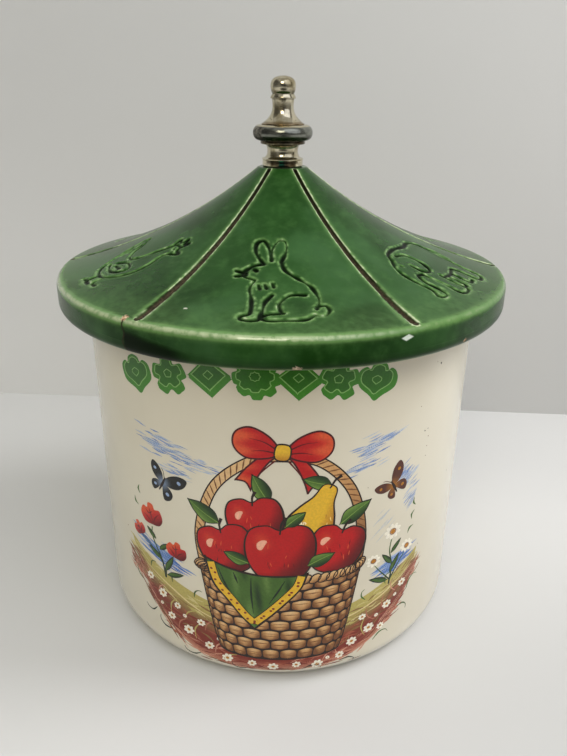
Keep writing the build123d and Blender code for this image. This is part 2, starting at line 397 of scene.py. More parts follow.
# The figures pressed into the six panels, from the front panel round to the right. Their points are in
# millimetres, x along the rim and y up the slope from the figure's feet, which stand "lift" above the rim.
figures = {
    "rabbit": {"lift": 11, "size": 1.0, "strokes": [
        [(-6, 37), (-9.5, 44), (-9.5, 50), (-6.5, 52), (-4, 47), (-3, 39.5)],
        [(-3, 39.5), (-3, 46), (-.5, 52), (2.5, 51.5), (3, 46), (1.2, 38.5)],
        [(-6, 37), (-10.5, 35.5), (-14, 31), (-13.5, 28.3), (-9, 26.5)],
        [(1.2, 38.5), (3, 33), (8, 28), (13.5, 22), (16.5, 14), (15.5, 8)],
        [(15.5, 9.5), (19, 10), (20.5, 6.5), (18.5, 3.2), (14.8, 4)],
        [(14.8, 4), (11, 1.2), (3, .8), (-3, .5), (-5.5, 2.2), (-3, 4.6), (3, 5.4)],
        [(2, 6), (1, 11.5), (5, 17), (11, 17.2)],
        [(-9, 26.5), (-11, 21), (-9.8, 13), (-10, 5), (-13, 2.8), (-13, .6), (-7, .4), (-5.5, 5), (-4.5, 12),
         (-2, 17)],
        [(-9.4, 33.2), (-8.8, 32.6)], [(-13, 30.5), (-17.5, 31.8)], [(-12.8, 29.4), (-17.2, 28.2)],
        [(-7.6, 23.5), (-7, 21)], [(-5, 24), (-4.2, 21.5)], [(-2.2, 25), (-1.4, 22.4)]]},
    "elephant": {"lift": 10, "size": 1.1, "strokes": [
        [(-14.5, 30), (-11, 34.5), (-4, 36), (3, 35), (10, 35.5), (16, 31.5), (18.6, 24), (18.6, 12),
         (18.4, 2.4), (12.4, 2), (12, 9), (9.5, 14)],
        [(9.5, 14), (3, 12.2), (-3.4, 13)],
        [(-3.4, 14.5), (-3.4, 7), (-3.6, 2), (-9.8, 2), (-9.8, 10), (-11, 18)],
        [(-14.5, 30), (-18.6, 25), (-20.2, 17), (-19.8, 9), (-22, 4.8), (-18, 4), (-16.4, 8), (-16.2, 14),
         (-14, 18.6), (-11, 18.5)],
        [(-9, 32), (-4, 31), (-1.6, 25), (-4, 18.8), (-8.2, 19.6), (-9.4, 25)],
        [(-14.4, 26.2), (-13.8, 25.8)], [(18.4, 27), (21.4, 23), (21.2, 17.4)],
        [(4.4, 12.4), (4.4, 4.4), (8.6, 4)], [(-.6, 12.6), (-.6, 4.4), (-3, 4)]]},
    "tortoise": {"lift": 14, "size": 1.1, "strokes": [
        [(-14, 13), (-11, 22), (-3, 29), (6, 29), (14, 22), (17, 13)], [(-15, 12.4), (0, 10.6), (17.6, 12.6)],
        [(-13, 15.6), (-17, 20.4), (-21, 18), (-20.6, 14), (-15, 12.4)],
        [(-10.6, 11.2), (-11.6, 4), (-6, 3.6), (-5, 10.6)], [(7, 10.8), (7.6, 3.8), (13, 4), (13.4, 11.6)],
        [(-5.6, 27.4), (-4, 19.4), (5.6, 19.4), (8, 28)], [(-4, 19.4), (-8.4, 11.8)],
        [(5.6, 19.4), (10, 11.6)], [(17.4, 12.6), (21, 9)], [(-17.6, 17.2), (-17, 16.6)]]},
    "fish": {"lift": 12, "size": 1.1, "strokes": [
        [(19, 19), (12, 27), (2, 31), (-7, 27.6), (-13, 20), (-20, 29.6), (-17.6, 19), (-20.6, 8), (-13, 17),
         (-6, 9.6), (3, 6.6), (12, 10.4), (19, 19)],
        [(9.6, 28), (6.4, 19), (9.6, 9.8)], [(13.8, 21.6), (14.4, 21)], [(1, 25), (-1.6, 21.6), (.6, 18)],
        [(-3.4, 21), (-6, 18), (-3.8, 14.6)], [(1.6, 16), (-1, 12.8), (1.4, 10)],
        [(-4, 29), (0, 36), (6.6, 36.4), (7, 29.4)]]},
    "snail": {"lift": 12, "size": 1.1, "strokes": [
        [(-20, 3), (-8, 1.2), (8, 1), (19, 2.6), (13, 7), (10, 8.6)],
        [(-20, 3), (-22, 9), (-20.6, 17.6), (-16.6, 20), (-13.6, 16.6), (-14, 10)],
        [(-20, 18.6), (-22.6, 25.4)], [(-16.4, 20), (-15.6, 27)],
        [(-10, 7.4), (-13, 17), (-9, 27), (1, 31.6), (11, 28), (15, 18), (11, 9), (2, 6.4), (-5, 10.6),
         (-7, 18), (-3, 24.6), (4, 25.4), (9, 20), (7, 13.6), (1.4, 12.6), (-1.4, 17), (2, 20)]]},
    "hen": {"lift": 11, "size": 1.0, "strokes": [
        [(7.5, 38), (3.4, 31), (.5, 25.4), (-4.5, 22.6), (-10, 26), (-13.5, 32), (-18.6, 35.5), (-19.4, 28),
         (-15.8, 18.5), (-9.5, 10), (-1, 6.6), (7, 9.4), (12.4, 16.5), (13, 25), (11.6, 31.5), (12.6, 34.6)],
        [(7.5, 38), (9.5, 41), (13, 40.4), (14.2, 38), (17.8, 36), (12.6, 34.6)],
        [(8, 41), (7.4, 44.6), (9.8, 43), (11, 46), (12.6, 43), (14.6, 43.6), (13.6, 40)],
        [(-5.8, 17), (0, 20.4), (6.4, 18), (4, 13), (-2.4, 11.6), (-8.8, 13.8)], [(-4, 15.4), (1.4, 15.6)],
        [(-1, 6.6), (-1.4, 1), (3, .2)], [(-1.4, 1), (-4.6, .4)], [(4, 7.6), (4.4, 2), (8.6, 1.4)],
        [(-15, 30.5), (-13.4, 24)], [(-17.2, 26), (-14.2, 20.6)], [(11.2, 38.4), (11.8, 38)]]},
}

# Wear, each at an angle from the front that grows to the right; one with no level lies on the roof, and the
# flat white one is a painted glint on a shallow chip
chipsAndGlint = [
    {"angle": -34.2, "radius": 105.7, "level": 181.4, "reach": 1.7, "depth": 0.3, "soil": 1.0},
    # a shallow flat chip, left unsoiled and white: a painted glint
    {"angle": 26.2, "radius": 108.0, "level": 178.2, "reach": (3.0, 1.4), "depth": 0.12, "soil": 0.0},
    {"angle": 3.4, "radius": 107.0, "level": 168.7, "reach": 1.9, "depth": 0.35, "soil": 0.8},
    {"angle": 43.6, "radius": 107.9, "level": 170.4, "reach": 0.9, "depth": 0.3, "soil": 1.0},
    {"angle": -22.8, "radius": 93.6, "reach": 0.6, "depth": 0.3, "soil": 0.3},
    {"angle": 150.0, "radius": 107.2, "level": 180.4, "reach": 1.2, "depth": 0.3, "soil": 0.9},
    {"angle": -128.0, "radius": 107.0, "level": 168.7, "reach": 1.3, "depth": 0.3, "soil": 0.8},
]
crack = {"angle": -33.9, "halfWidth": 0.24, "bend": 0.5, "blur": 2.6, "dark": 0.95, "soil": 0.5}
# nearly black glaze to the right of the crack, measured along the rim from it
darkPool = {"start": (-0.2, 0.6), "end": (21.0, 35.0), "level": 177.4, "blur": 1.4, "fall": 0.15, "inward": 6}


def roofControl(drop=0.0):
    eaves = Vector((lidRadius, rimTop - drop))
    crown = Vector((lid["crown"], lidTop - drop))
    slope = (crown - eaves).normalized()
    middle = (eaves + crown) / 2 + Vector((-slope.y, slope.x)) * lid["sink"]
    return [tuple(eaves), tuple(middle), tuple(crown)]


# the roof's level over a radius or an array of radii
def roofLevel(radius, drop=0.0):
    (r0, z0), (r1, z1), (r2, z2) = roofControl(drop)
    a, b = r0 - 2 * r1 + r2, 2 * (r1 - r0)
    t = (-b - np.sqrt(np.maximum(b * b - 4 * a * (r0 - radius), 0))) / (2 * a)
    t = np.clip(t, 0, 1)
    return (1 - t) ** 2 * z0 + 2 * t * (1 - t) * z1 + t ** 2 * z2


roofRadii = np.linspace(lid["crown"], lidRadius, 400)
slopeSteps = np.hypot(np.diff(roofRadii), np.diff(roofLevel(roofRadii)))
slopeUp = np.append(np.cumsum(slopeSteps[::-1])[::-1], 0)  # distance up the slope from the rim


# a smooth line through a stroke's points
def smoothStroke(points, perSpan=6):
    if len(points) == 2:
        return np.array(points, float)
    p = np.array([points[0], *points, points[-1]], float)
    t = np.linspace(0, 1, perSpan, endpoint=False)[:, None]
    spans = [0.5 * (2 * b + (c - a) * t + (2 * a - 5 * b + 4 * c - d) * t ** 2
                    + (3 * b - a - 3 * c + d) * t ** 3) for a, b, c, d in zip(p, p[1:], p[2:], p[3:])]
    return np.vstack(spans + [p[-1:]])


def lineDistance(points, line):
    nearest = np.full(len(points), 99.0)
    for a, b in zip(line, line[1:]):
        run = b - a
        along = np.clip((points - a) @ run / max(run @ run, 1e-9), 0, 1)
        nearest = np.minimum(nearest, np.hypot(*(points - a - along[:, None] * run).T))
    return nearest


# distances of points from a chip's edge, below 0 inside it; a flat one has a reach along and across
def chipDistance(points, chip):
    a, radius = math.radians(chip["angle"]), chip["radius"]
    level = chip.get("level", float(roofLevel(radius)))
    away = points - np.array([radius * math.sin(a), -radius * math.cos(a), level])
    if isinstance(chip["reach"], tuple):
        wide, high = chip["reach"]
        along = away[:, 0] * math.cos(a) + away[:, 1] * math.sin(a) - away[:, 2] * 0.4
        inward = away[:, 0] * math.sin(a) - away[:, 1] * math.cos(a)
        return (np.abs(along) / wide + np.abs(away[:, 2]) / high + np.abs(inward) / 3 - 1) * high
    return np.linalg.norm(away, axis=1) - chip["reach"]


# distances of points on the lid from the nearest groove, figure stroke, chip and crack
def lidDistances(points):
    radius = np.hypot(points[:, 0], points[:, 1])
    angle = np.degrees(np.arctan2(points[:, 0], -points[:, 1])) - groove["phase"]
    sector = 360 / groove["count"]
    panel = np.rint(angle / sector)
    across = radius * np.radians(angle - sector * panel)
    up = np.interp(radius, roofRadii, slopeUp)
    onRoof = np.abs(points[:, 2] - roofLevel(radius)) < 0.8

    past = np.maximum(0, np.maximum(groove["start"] - radius, radius - groove["end"]))
    toGroove = np.hypot(radius * math.radians(sector / 2) - np.abs(across), past)
    toGroove[~onRoof] = 99

    toStroke = np.full(len(points), 99.0)
    for number, figure in enumerate(figures.values()):
        inside = np.flatnonzero((panel.astype(int) % groove["count"] == number) & onRoof)
        flat = np.column_stack((across[inside], up[inside] - figure["lift"])) / figure["size"]
        for route in figure["strokes"]:
            away = lineDistance(flat, smoothStroke(route)) * figure["size"]
            toStroke[inside] = np.minimum(toStroke[inside], away)

    toChip = np.full(len(points), 99.0)
    for chip in chipsAndGlint:
        toChip = np.minimum(toChip, chipDistance(points, chip))
    fromCrack = radius * np.radians(angle + groove["phase"] - crack["angle"])
    toCrack = np.abs(fromCrack - crack["bend"] * np.sin(points[:, 2] * 0.9))
    toCrack[(radius < lidRadius - 3.5) | (points[:, 2] > rimTop)] = 99
    return toGroove, toStroke, toChip, toCrack


# halves the faces near the lines and chips, each round closer in than the last
def refineLid(bm):
    for reach, chipReach in lid["refine"]:
        centres = np.array([face.calc_center_median()[:] for face in bm.faces])
        toGroove, toStroke, toChip, toCrack = lidDistances(centres)
        near = (np.minimum(toGroove - 0.3, toStroke) < reach) | (np.minimum(toChip, toCrack) < chipReach)
        edges = {edge for face, hit in zip(bm.faces, near) if hit for edge in face.edges}
        bmesh.ops.subdivide_edges(bm, edges=list(edges), cuts=1, use_grid_fill=True)


def softStep(value, low, high):
    t = np.clip((value - low) / (high - low), 0, 1)
    return t * t * (3 - 2 * t)


# how a mark fades with the distance from its middle
def fading(distance, width, power=2):
    return np.exp(-(distance / width) ** power)


def unevenness(points, scale):
    return np.array([noise.noise(Vector(p) * scale) for p in points])


# the lid's points, with their distances from the lines and the lines' widths there
class LidSurface:
    def __init__(self, points):
        self.points = points
        self.radius = np.hypot(points[:, 0], points[:, 1])
        roof = roofLevel(self.radius)
        self.onRoof = ((np.abs(points[:, 2] - roof) < 0.4) & (self.radius > lid["crown"] + 0.8)
                       & (self.radius < lidRadius - 3.4))
        points[self.onRoof, 2] = roof[self.onRoof]
        self.level = points[:, 2]
        self.toGroove, self.toStroke, _, self.toCrack = lidDistances(points)
        self.wander = unevenness(points, 0.16)
        self.fine = unevenness(points, 0.55)
        self.strokeHalf = stroke["halfWidth"] * (1 + stroke["uneven"] * self.wander)
        self.grooveHalf = (np.interp(self.radius, groove["widens"], groove["halfWidth"])
                           * (1 + groove["uneven"] * self.fine))

    # how deep the grooves and strokes are pressed in; clay pushed aside stands up beside a stroke
    def pressed(self):
        grooveDrop = groove["depth"] * fading(self.toGroove, self.grooveHalf, 4)
        strokeDrop = stroke["depth"] * fading(self.toStroke / self.strokeHalf, stroke["spread"])
        lip = stroke["lip"] * fading(self.toStroke - stroke["lipOut"], stroke["lipWidth"])
        return np.where(self.onRoof, np.maximum(grooveDrop, strokeDrop) - lip, 0)

    # a pale line past a mark's edge, with a faint halo
    def paleShoulder(self, past, mark):
        pale, uneven = mark["linePale"]
        return ((pale + uneven * self.fine) * fading(past, mark["line"])
                + mark["haloPale"] * fading(past, mark["halo"]))

    def paleEdge(self, edge, level):
        away = np.hypot(self.radius - (lidRadius - edge["inward"]), self.level - (level + edge["up"]))
        # the top edge's pale line is dimmed towards the right: painted shade
        pale = edge["pale"] - edge["paintedShadeRight"] * softStep(self.points[:, 0], *rightward)
        return (pale + edge["uneven"] * self.fine) * fading(away, edge["width"])

    # where the glaze has run thin: beside the marks, on the rim's edges and low on the roof
    def thin(self, dark):
        pastGroove = self.toGroove - self.grooveHalf * groove["shoulder"]
        pastStroke = self.toStroke - self.strokeHalf * stroke["shoulder"]
        thin = np.maximum.reduce([self.paleShoulder(pastGroove, groove) * (pastGroove > -0.35),
                                  self.paleShoulder(pastStroke, stroke), self.paleEdge(topEdge, rimTop),
                                  self.paleEdge(lowEdge, lidBottom), 0 * self.radius])
        thin += (lowRoof["pale"] * softStep(self.radius, *lowRoof["radii"])
                 * (1 + lowRoof["uneven"] * self.fine) * self.onRoof)
        return thin * (1 - dark)

    # nearly black glaze to the right of the crack
    def darkBand(self):
        angle = np.degrees(np.arctan2(self.points[:, 0], -self.points[:, 1]))
        fromCrack = self.radius * np.radians(angle - crack["angle"])
        top = darkPool["level"] - fromCrack * darkPool["fall"]
        dark = (softStep(fromCrack, *darkPool["start"]) * (1 - softStep(fromCrack, *darkPool["end"]))
                * (1 - softStep(self.level, top - darkPool["blur"], top + darkPool["blur"])))
        dark[self.radius < lidRadius - darkPool["inward"]] = 0
        return dark

    def crackLine(self):
        return 1 - softStep(self.toCrack, crack["halfWidth"], crack["halfWidth"] * crack["blur"])

    # where the glaze pools: in the grooves and strokes and in the crack; the rim band is also darkened
    # towards its foot
    def pooled(self, dark):
        inGroove, inStroke = (
            1 - softStep(distance, half * mark["pool"][0], half * mark["pool"][1])
            for mark, distance, half in ((groove, self.toGroove, self.grooveHalf),
                                         (stroke, self.toStroke, self.strokeHalf)))
        deep, uneven = stroke["poolDark"]
        onBand = (softStep(self.radius, lidRadius - 4, lidRadius - 1)
                  * (1 - softStep(self.level, rimTop - 5, rimTop - 2)))
        underTop = lidBottom + lowBand["height"] - self.level
        low = onBand * lowBand["dark"] * softStep(underTop, 0, lowBand["fade"])
        return np.maximum.reduce([inGroove, inStroke * (deep + uneven * self.wander), dark, low,
                                  self.crackLine() * crack["dark"]])

    # where the glaze is chipped off and where it is soiled, the flat unsoiled chip's white being a painted
    # glint; each chip adds to the drop
    def wornAndReflected(self, drop):
        chippedAndGlint = np.zeros(len(self.points))
        soil = (softStep(self.grooveHalf * groove["soilTo"] - self.toGroove, 0.0, 0.35)
                * (0.35 + 0.55 * softStep(self.radius, 18, 55)))
        for chip in chipsAndGlint:
            away = chipDistance(self.points, chip)
            rough = 0.0 if isinstance(chip["reach"], tuple) else 0.9  # a flat chip has a smooth edge
            ragged = away + rough * np.array([noise.noise(Vector(p) * 1.3) if d < 4 else 0
                                              for p, d in zip(self.points, away)])
            hit = 1 - softStep(ragged, -0.35, 0.1)
            chippedAndGlint = np.maximum(chippedAndGlint, hit)
            soil = np.where(hit > 0.02, chip["soil"], soil)
            drop += chip["depth"] * hit
        return chippedAndGlint, np.maximum(soil, self.crackLine() * crack["soil"])

    # the points moved inwards, across the roof or across the rim band
    def lowered(self, drop):
        rise = (roofLevel(self.radius + 0.1) - roofLevel(self.radius - 0.1)) / 0.2
        onTop = self.level > rimTop - 1.5
        outward = self.points[:, :2] / np.maximum(self.radius, 1)[:, None]
        normals = np.column_stack((np.where(onTop, -rise, 1)[:, None] * outward, np.where(onTop, 1, 0)))
        normals /= np.linalg.norm(normals, axis=1)[:, None]
        return self.points - normals * drop[:, None]


# presses the grooves, figures and chips in and paints where the glaze thins, pools and is worn
def pressLid(bm):
    surface = LidSurface(np.array([vert.co[:] for vert in bm.verts]))
    dark = surface.darkBand()
    drop = surface.pressed()
    chippedAndGlint, soil = surface.wornAndReflected(drop)
    glaze = bm.verts.layers.float_color.new("glazeMap")
    dirt = bm.verts.layers.float.new("soil")
    for vert, place, thin, pool, chip, soiled in zip(bm.verts, surface.lowered(drop), surface.thin(dark),
                                                     surface.pooled(dark), chippedAndGlint, soil):
        vert.co = place
        vert[glaze] = (thin, pool, chip, 1)
        vert[dirt] = soiled


# green glaze outside, bare clay where the lid rests, clear glaze in the hollow
def lidFaceMaterial(face, flangeInner):
    middle = face.calc_center_median()
    radius = math.hypot(middle.x, middle.y)
    if radius > lidRadius - lid["glazedUnder"] or middle.z > roofLevel(radius, lid["wall"] * 0.5):
        return 0
    return 1 if radius > flangeInner + 0.4 else 2


def makeLid():
    flangeOuter = jarBore - lid["flangeClearance"]
    flangeInner = flangeOuter - lid["flangeWall"]
    flangeBottom = jarHeight - lid["flangeDepth"]
    ceiling = lidTop - lid["crownThickness"]
    roof = bezier(roofControl(), lid["roofSteps"])
    attic = [p for p in bezier(roofControl(lid["wall"]), lid["atticSteps"])
             if p[0] < flangeInner and p[1] < ceiling]
    bandTop = rimTop - lid["rimTopRound"]
    bandLow = lidBottom + lid["rimBottomRound"]
    steps = lid["bandSteps"]
    band = [(lidRadius, bandTop + (bandLow - bandTop) * k / steps) for k in range(1, steps)]
    bm = profileMesh([
        (lid["studHole"], lidTop),
        (lid["crown"], lidTop, lid["crownRound"], 4),
        *roof[-2:0:-1],
        (lidRadius, rimTop, lid["rimTopBevel"], 8),
        *band,
        (lidRadius, lidBottom, lid["rimBottomRound"], 7),
        (lidRadius - lid["glazedUnder"], lidBottom),
        (jarRadius + lid["seatMargin"], lidBottom, lid["seatRound"], 2),
        (jarRadius + lid["seatMargin"], jarHeight),
        (flangeOuter, jarHeight, lid["flangeTopRound"], 2),
        (flangeOuter, flangeBottom, lid["flangeRound"], 4),
        (flangeInner, flangeBottom, lid["flangeRound"], 4),
        (flangeInner, float(roofLevel(flangeInner, lid["wall"]))),
        *attic,
        (attic[-1][0], ceiling),
        (lid["studHole"], ceiling)], lid["segments"], closed=True)
    refineLid(bm)
    pressLid(bm)
    for face in bm.faces:
        face.material_index = lidFaceMaterial(face, flangeInner)
    print("lid faces:", len(bm.faces))
    finishPiece(bm, "lidShell", "lid", [greenGlaze, bareClay, creamGlaze], "lid", sharp=50)


makeJarBody()
makeLid()
print("ceramic pieces made")


# Finial, from the lid upwards

finial = {"bore": 2.245, "segments": 128, "edge": 0.15}


def turnedPiece(name, node, corners, material, slot, closed=True, **marks):
    bm = profileMesh(corners, finial["segments"], closed=closed)
    for mark, amount in marks.items():
        layer = bm.verts.layers.float.new(mark)
        for vert in bm.verts:
            vert[layer] = float(amount(vert.co))
    finishPiece(bm, name, "finial", [material], node)


# degrees from the front, growing to the right
def sideOf(point):
    return math.degrees(math.atan2(point.x, -point.y))


# Marks on the metal: one between two angles from the front, one that deepens below a level, and one that
# deepens between two levels

def between(start, end, amount):
    return lambda point: amount * softStep(min(sideOf(point) - start, end - sideOf(point)), -2, 2)


def below(level, fade, amount=1.0):
    return lambda point: amount * softStep(level - point.z, 0, fade)


def above(level, deepest):
    return lambda point: softStep(point.z, level, deepest)


# the collar's front is darkened, with a teal streak and a brown one beside it: painted reflections of the
# room
collar = {"edge": 0.25, "grime": (-36, 40, 0.9), "verdigris": (-10, 5, 0.9), "wear": (9, 34, 0.8)}


def makeBaseCollar():
    low, high, radius = sizesOf("finial_base_collar")
    turnedPiece("baseCollar", "finial_base_collar", [
        (finial["bore"], low),
        (radius, low, collar["edge"], 3),
        (radius, high, collar["edge"], 3),
        (finial["bore"], high)], brightBrass, "plated_brass", grime=between(*collar["grime"]),
        verdigris=between(*collar["verdigris"]), wear=between(*collar["wear"]))


spool = {"footRadius": 9.6, "footHeight": 0.6, "waist": 7.2, "lipHeight": 1.6, "lipStep": 0.8, "lipEdge": 0.3,
         "fullness": (0.62, 0.7)}


def makeLowerSpool():
    low, high, radius = sizesOf("finial_lower_spool")
    foot, waist = spool["footRadius"], spool["waist"]
    coveLow, coveHigh = low + spool["footHeight"], high - spool["lipHeight"]
    middle = (coveLow + coveHigh) / 2
    lower, upper = spool["fullness"]
    cove = (quarter((foot, coveLow), (waist, coveLow), (waist, middle), lower)
            + quarter((waist, middle), (waist, coveHigh), (radius - spool["lipStep"], coveHigh), upper)[1:])
    # the upper cove under the lip is darkened: painted shade and painted reflection
    turnedPiece("lowerSpool", "finial_lower_spool", [
        (finial["bore"], low),
        (foot, low, finial["edge"], 3),
        *cove,
        (radius, coveHigh, spool["lipEdge"], 4),
        (radius, high, spool["lipEdge"], 4),
        (finial["bore"], high)], paleBrass, "plated_brass", grime=above(middle + 0.2, high - 0.6))


grip = {"foot": 11.2, "top": 10.7, "lower": 3.3, "keptWidth": 1.4, "keptHeight": 0.75, "pittedSide": -78,
        "pittedReach": (28, 40)}


def makeGripRing():
    low, high, radius = sizesOf("finial_grip_ring")
    middle = low + grip["lower"]
    bulge = (quarter((grip["foot"], low), (radius, low), (radius, middle), steps=14)
             + quarter((radius, middle), (radius, high), (grip["top"], high), steps=14)[1:])

    def wear(point):  # the top shoulder keeps its plating, and the left end is pitted
        onShoulder = math.hypot(point.x, point.y) < radius - grip["keptWidth"]
        if onShoulder and point.z > high - grip["keptHeight"]:
            return 0.0
        whole, end = grip["pittedReach"]
        return 0.5 + 0.5 * float(softStep(-abs(sideOf(point) - grip["pittedSide"]), -end, -whole))

    # the ring's underside is darkened: painted shade
    turnedPiece("gripRing", "finial_grip_ring", [
        (finial["bore"], low),
        *bulge,
        (finial["bore"], high)], wornRing, "worn_metal", wear=wear, grime=below(low + 3.0, 1.8, 0.9))


bell = {"foot": 0.6, "footEdge": 0.2, "skirt": 9.4, "cove": 7.2, "neck": 4.9, "neckTop": 5.15}


def makeBellNeck():
    low, high, radius = sizesOf("finial_bell_neck")
    skirt, neck, height = bell["skirt"], bell["neck"], bell["cove"]
    coveLow = low + bell["foot"]
    coveHigh = coveLow + height
    cove = bezier([(skirt, coveLow), (skirt + (neck - skirt) / 2, coveLow + height / 4),
                   (neck, coveHigh - height / 2), (neck, coveHigh)], 18)
    flare = bezier([(neck, coveHigh), (neck, (coveHigh + high) / 2), (bell["neckTop"], high)], 6)[1:]
    # the neck's top, just under the check ring, is darkened: a painted shade line
    turnedPiece("bellNeck", "finial_bell_neck", [
        (finial["bore"], low),
        (radius, low, finial["edge"], 3),
        (radius, coveLow, bell["footEdge"], 3),
        *cove,
        *flare,
        (finial["bore"], high)], paleBrass, "plated_brass", wear=below(coveLow + 1.3, 1.1),
        grime=above(high - 0.6, high - 0.1))


checkRing = {"edgeHeight": 0.6, "top": 5.1}


def makeCheckRing():
    low, high, radius = sizesOf("finial_check_ring")
    turnedPiece("checkRing", "finial_check_ring", [
        (finial["bore"], low),
        (radius, low, finial["edge"], 3),
        (radius, low + checkRing["edgeHeight"], finial["edge"], 3),
        (checkRing["top"], high),
        (finial["bore"], high)], paleBrass, "plated_brass")


ball = {"neck": 4.95, "lower": 3.7, "fullness": 0.64, "overRod": 0.4}


def makeBallCap():
    low, high, radius = sizesOf("finial_ball_cap")
    neck, middle = ball["neck"], low + ball["lower"]
    threadTop = sizesOf("threaded_rod")[1] + ball["overRod"]
    swell = bezier([(neck, low), (neck, low + ball["lower"] / 6), (radius, middle - ball["lower"] * 0.7),
                    (radius, middle)], 14)
    dome = quarter((radius, middle), (radius, high), (0, high), ball["fullness"], 16)[1:]
    # the ball's lower part is darkened: painted shade and painted reflection of the lid
    turnedPiece("ballCap", "finial_ball_cap", [
        (0, threadTop),
        (finial["bore"], threadTop),
        (finial["bore"], low),
        *swell,
        *dome], paleBrass, "plated_brass", closed=False, grime=below(low + 2.6, 1.6, 0.75))


rod = {"pitch": 0.794, "threadDepth": 0.26, "threaded": 6.0, "segments": 36, "perTurn": 8, "bevel": 0.4}


# a rod whose lower end, which shows under the nut, has its thread cut as a screw line
def makeRod():
    low, high, radius = sizesOf("threaded_rod")
    rows = round(rod["threaded"] / rod["pitch"] * rod["perTurn"])
    levels = [low + rod["threaded"] * k / rows for k in range(rows + 1)] + [high - rod["bevel"], high]
    bm = bmesh.new()
    rings = []
    for number, level in enumerate(levels):
        ends = min(level - low, high - level)
        reach = radius - max(0, rod["bevel"] - ends)
        row = []
        for k in range(rod["segments"]):
            turn = k / rod["segments"]
            cut = abs(((level / rod["pitch"] - turn) % 1) * 2 - 1) if number < rows - rod["perTurn"] else 0
            around = turn * math.tau
            out = reach - rod["threadDepth"] * cut * min(1, ends / rod["bevel"] + 0.2)
            row.append(bm.verts.new((out * math.cos(around), out * math.sin(around), level)))
        rings.append(row)
    for lower, upper in zip(rings, rings[1:]):
        for k in range(rod["segments"]):
            after = (k + 1) % rod["segments"]
            bm.faces.new((lower[k], lower[after], upper[after], upper[k]))
    bm.faces.new(rings[0][::-1])
    bm.faces.new(rings[-1])
    finishPiece(bm, "threadedRod", "finial", [zincSteel], "threaded_rod", sharp=50)


makeBaseCollar()
makeLowerSpool()
makeGripRing()
makeBellNeck()
makeCheckRing()
makeBallCap()
makeRod()
for node, material in (("finial_cushion_washer", darkFibre), ("inner_fibre_washer", darkFibre),
                       ("inner_steel_washer", zincSteel), ("lock_nut", zincSteel)):
    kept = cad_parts[node]
    kept.data.materials.clear()
    kept.data.materials.append(material)
print("finial made")


# Print on the wall. It is drawn flat, u to the right round the wall from the front and v up in millimetres,
# in display colours. Each shape is a thin closed sheet bent onto the glaze, the higher layers on top.

printed = {"sink": 0.03, "rise": 0.03, "layer": 0.009, "mesh": 1.4, "step": 1.0}
ink = {"red": (182, 12, 14), "wine": (92, 4, 8), "coral": (214, 84, 44), "yellow": (226, 180, 46),
       "ochre": (178, 116, 30), "tan": (200, 152, 96), "straw": (222, 184, 132), "brown": (116, 72, 40),
       "umber": (38, 22, 14), "green": (66, 100, 36), "pine": (20, 42, 16), "moss": (120, 150, 66),
       "blue": (70, 108, 176), "sky": (150, 172, 206), "olive": (180, 166, 92), "earth": (136, 104, 60),
       "rust": (124, 44, 30), "pink": (198, 140, 114), "white": (240, 234, 216), "black": (24, 24, 22),
       "leaf": (62, 130, 34), "leafDeep": (46, 106, 20), "leafPale": (134, 184, 100)}
brush = random.Random(23)


def onWall(flat, out):
    u, v = flat[:, 0], flat[:, 1]
    bend = jar["bottomRound"]
    dip = np.clip(bend - v, 0, bend * 0.9)
    level = np.sqrt(bend ** 2 - dip ** 2) / bend
    radius = jarRadius - bend * (1 - level) + out * level
    around = u / jarRadius
    return np.column_stack((radius * np.sin(around), -radius * np.cos(around), v - out * dip / bend))


# a smooth closed line through the points; a point given twice makes a corner
def smoothLoop(points, perSpan=8):
    p = [tuple(q) for q in points]
    return smoothStroke([p[-1], *p, p[0], p[1]], perSpan)[perSpan:-perSpan - 1]


def evenly(line, spacing, closed=False):
    if closed:
        line = np.vstack((line, line[:1]))
    run = np.append(0, np.cumsum(np.hypot(*np.diff(line, axis=0).T)))
    at = np.linspace(0, run[-1], max(3, math.ceil(run[-1] / spacing)) + 1)
    even = np.column_stack([np.interp(at, run, line[:, axis]) for axis in (0, 1)])
    return even[:-1] if closed else even


# turns, scales and moves a motif's points
def placed(points, at=(0, 0), size=1.0, angle=0.0):
    p = np.array(points, float) * size
    c, s = math.cos(math.radians(angle)), math.sin(math.radians(angle))
    return np.column_stack((p[:, 0] * c - p[:, 1] * s, p[:, 0] * s + p[:, 1] * c)) + np.array(at)


# an oval's points; where a notch is given, every fourth one is drawn in to it
def oval(wide, high, count, notch=1.0, start=0.0):
    points = []
    for k in range(count):
        a = k / count * math.tau + start
        reach = notch if k % 4 == 2 else 1.0
        points.append((wide * reach * math.cos(a), high * reach * math.sin(a)))
    return points


# colours along a ramp, t running from 0 to 1 and staying at the ends beyond them
def ramp(t, *names):
    stops = np.array([ink[n] if isinstance(n, str) else n for n in names], float)
    return np.column_stack([np.interp(t, np.linspace(0, 1, len(stops)), stops[:, k]) for k in range(3)])


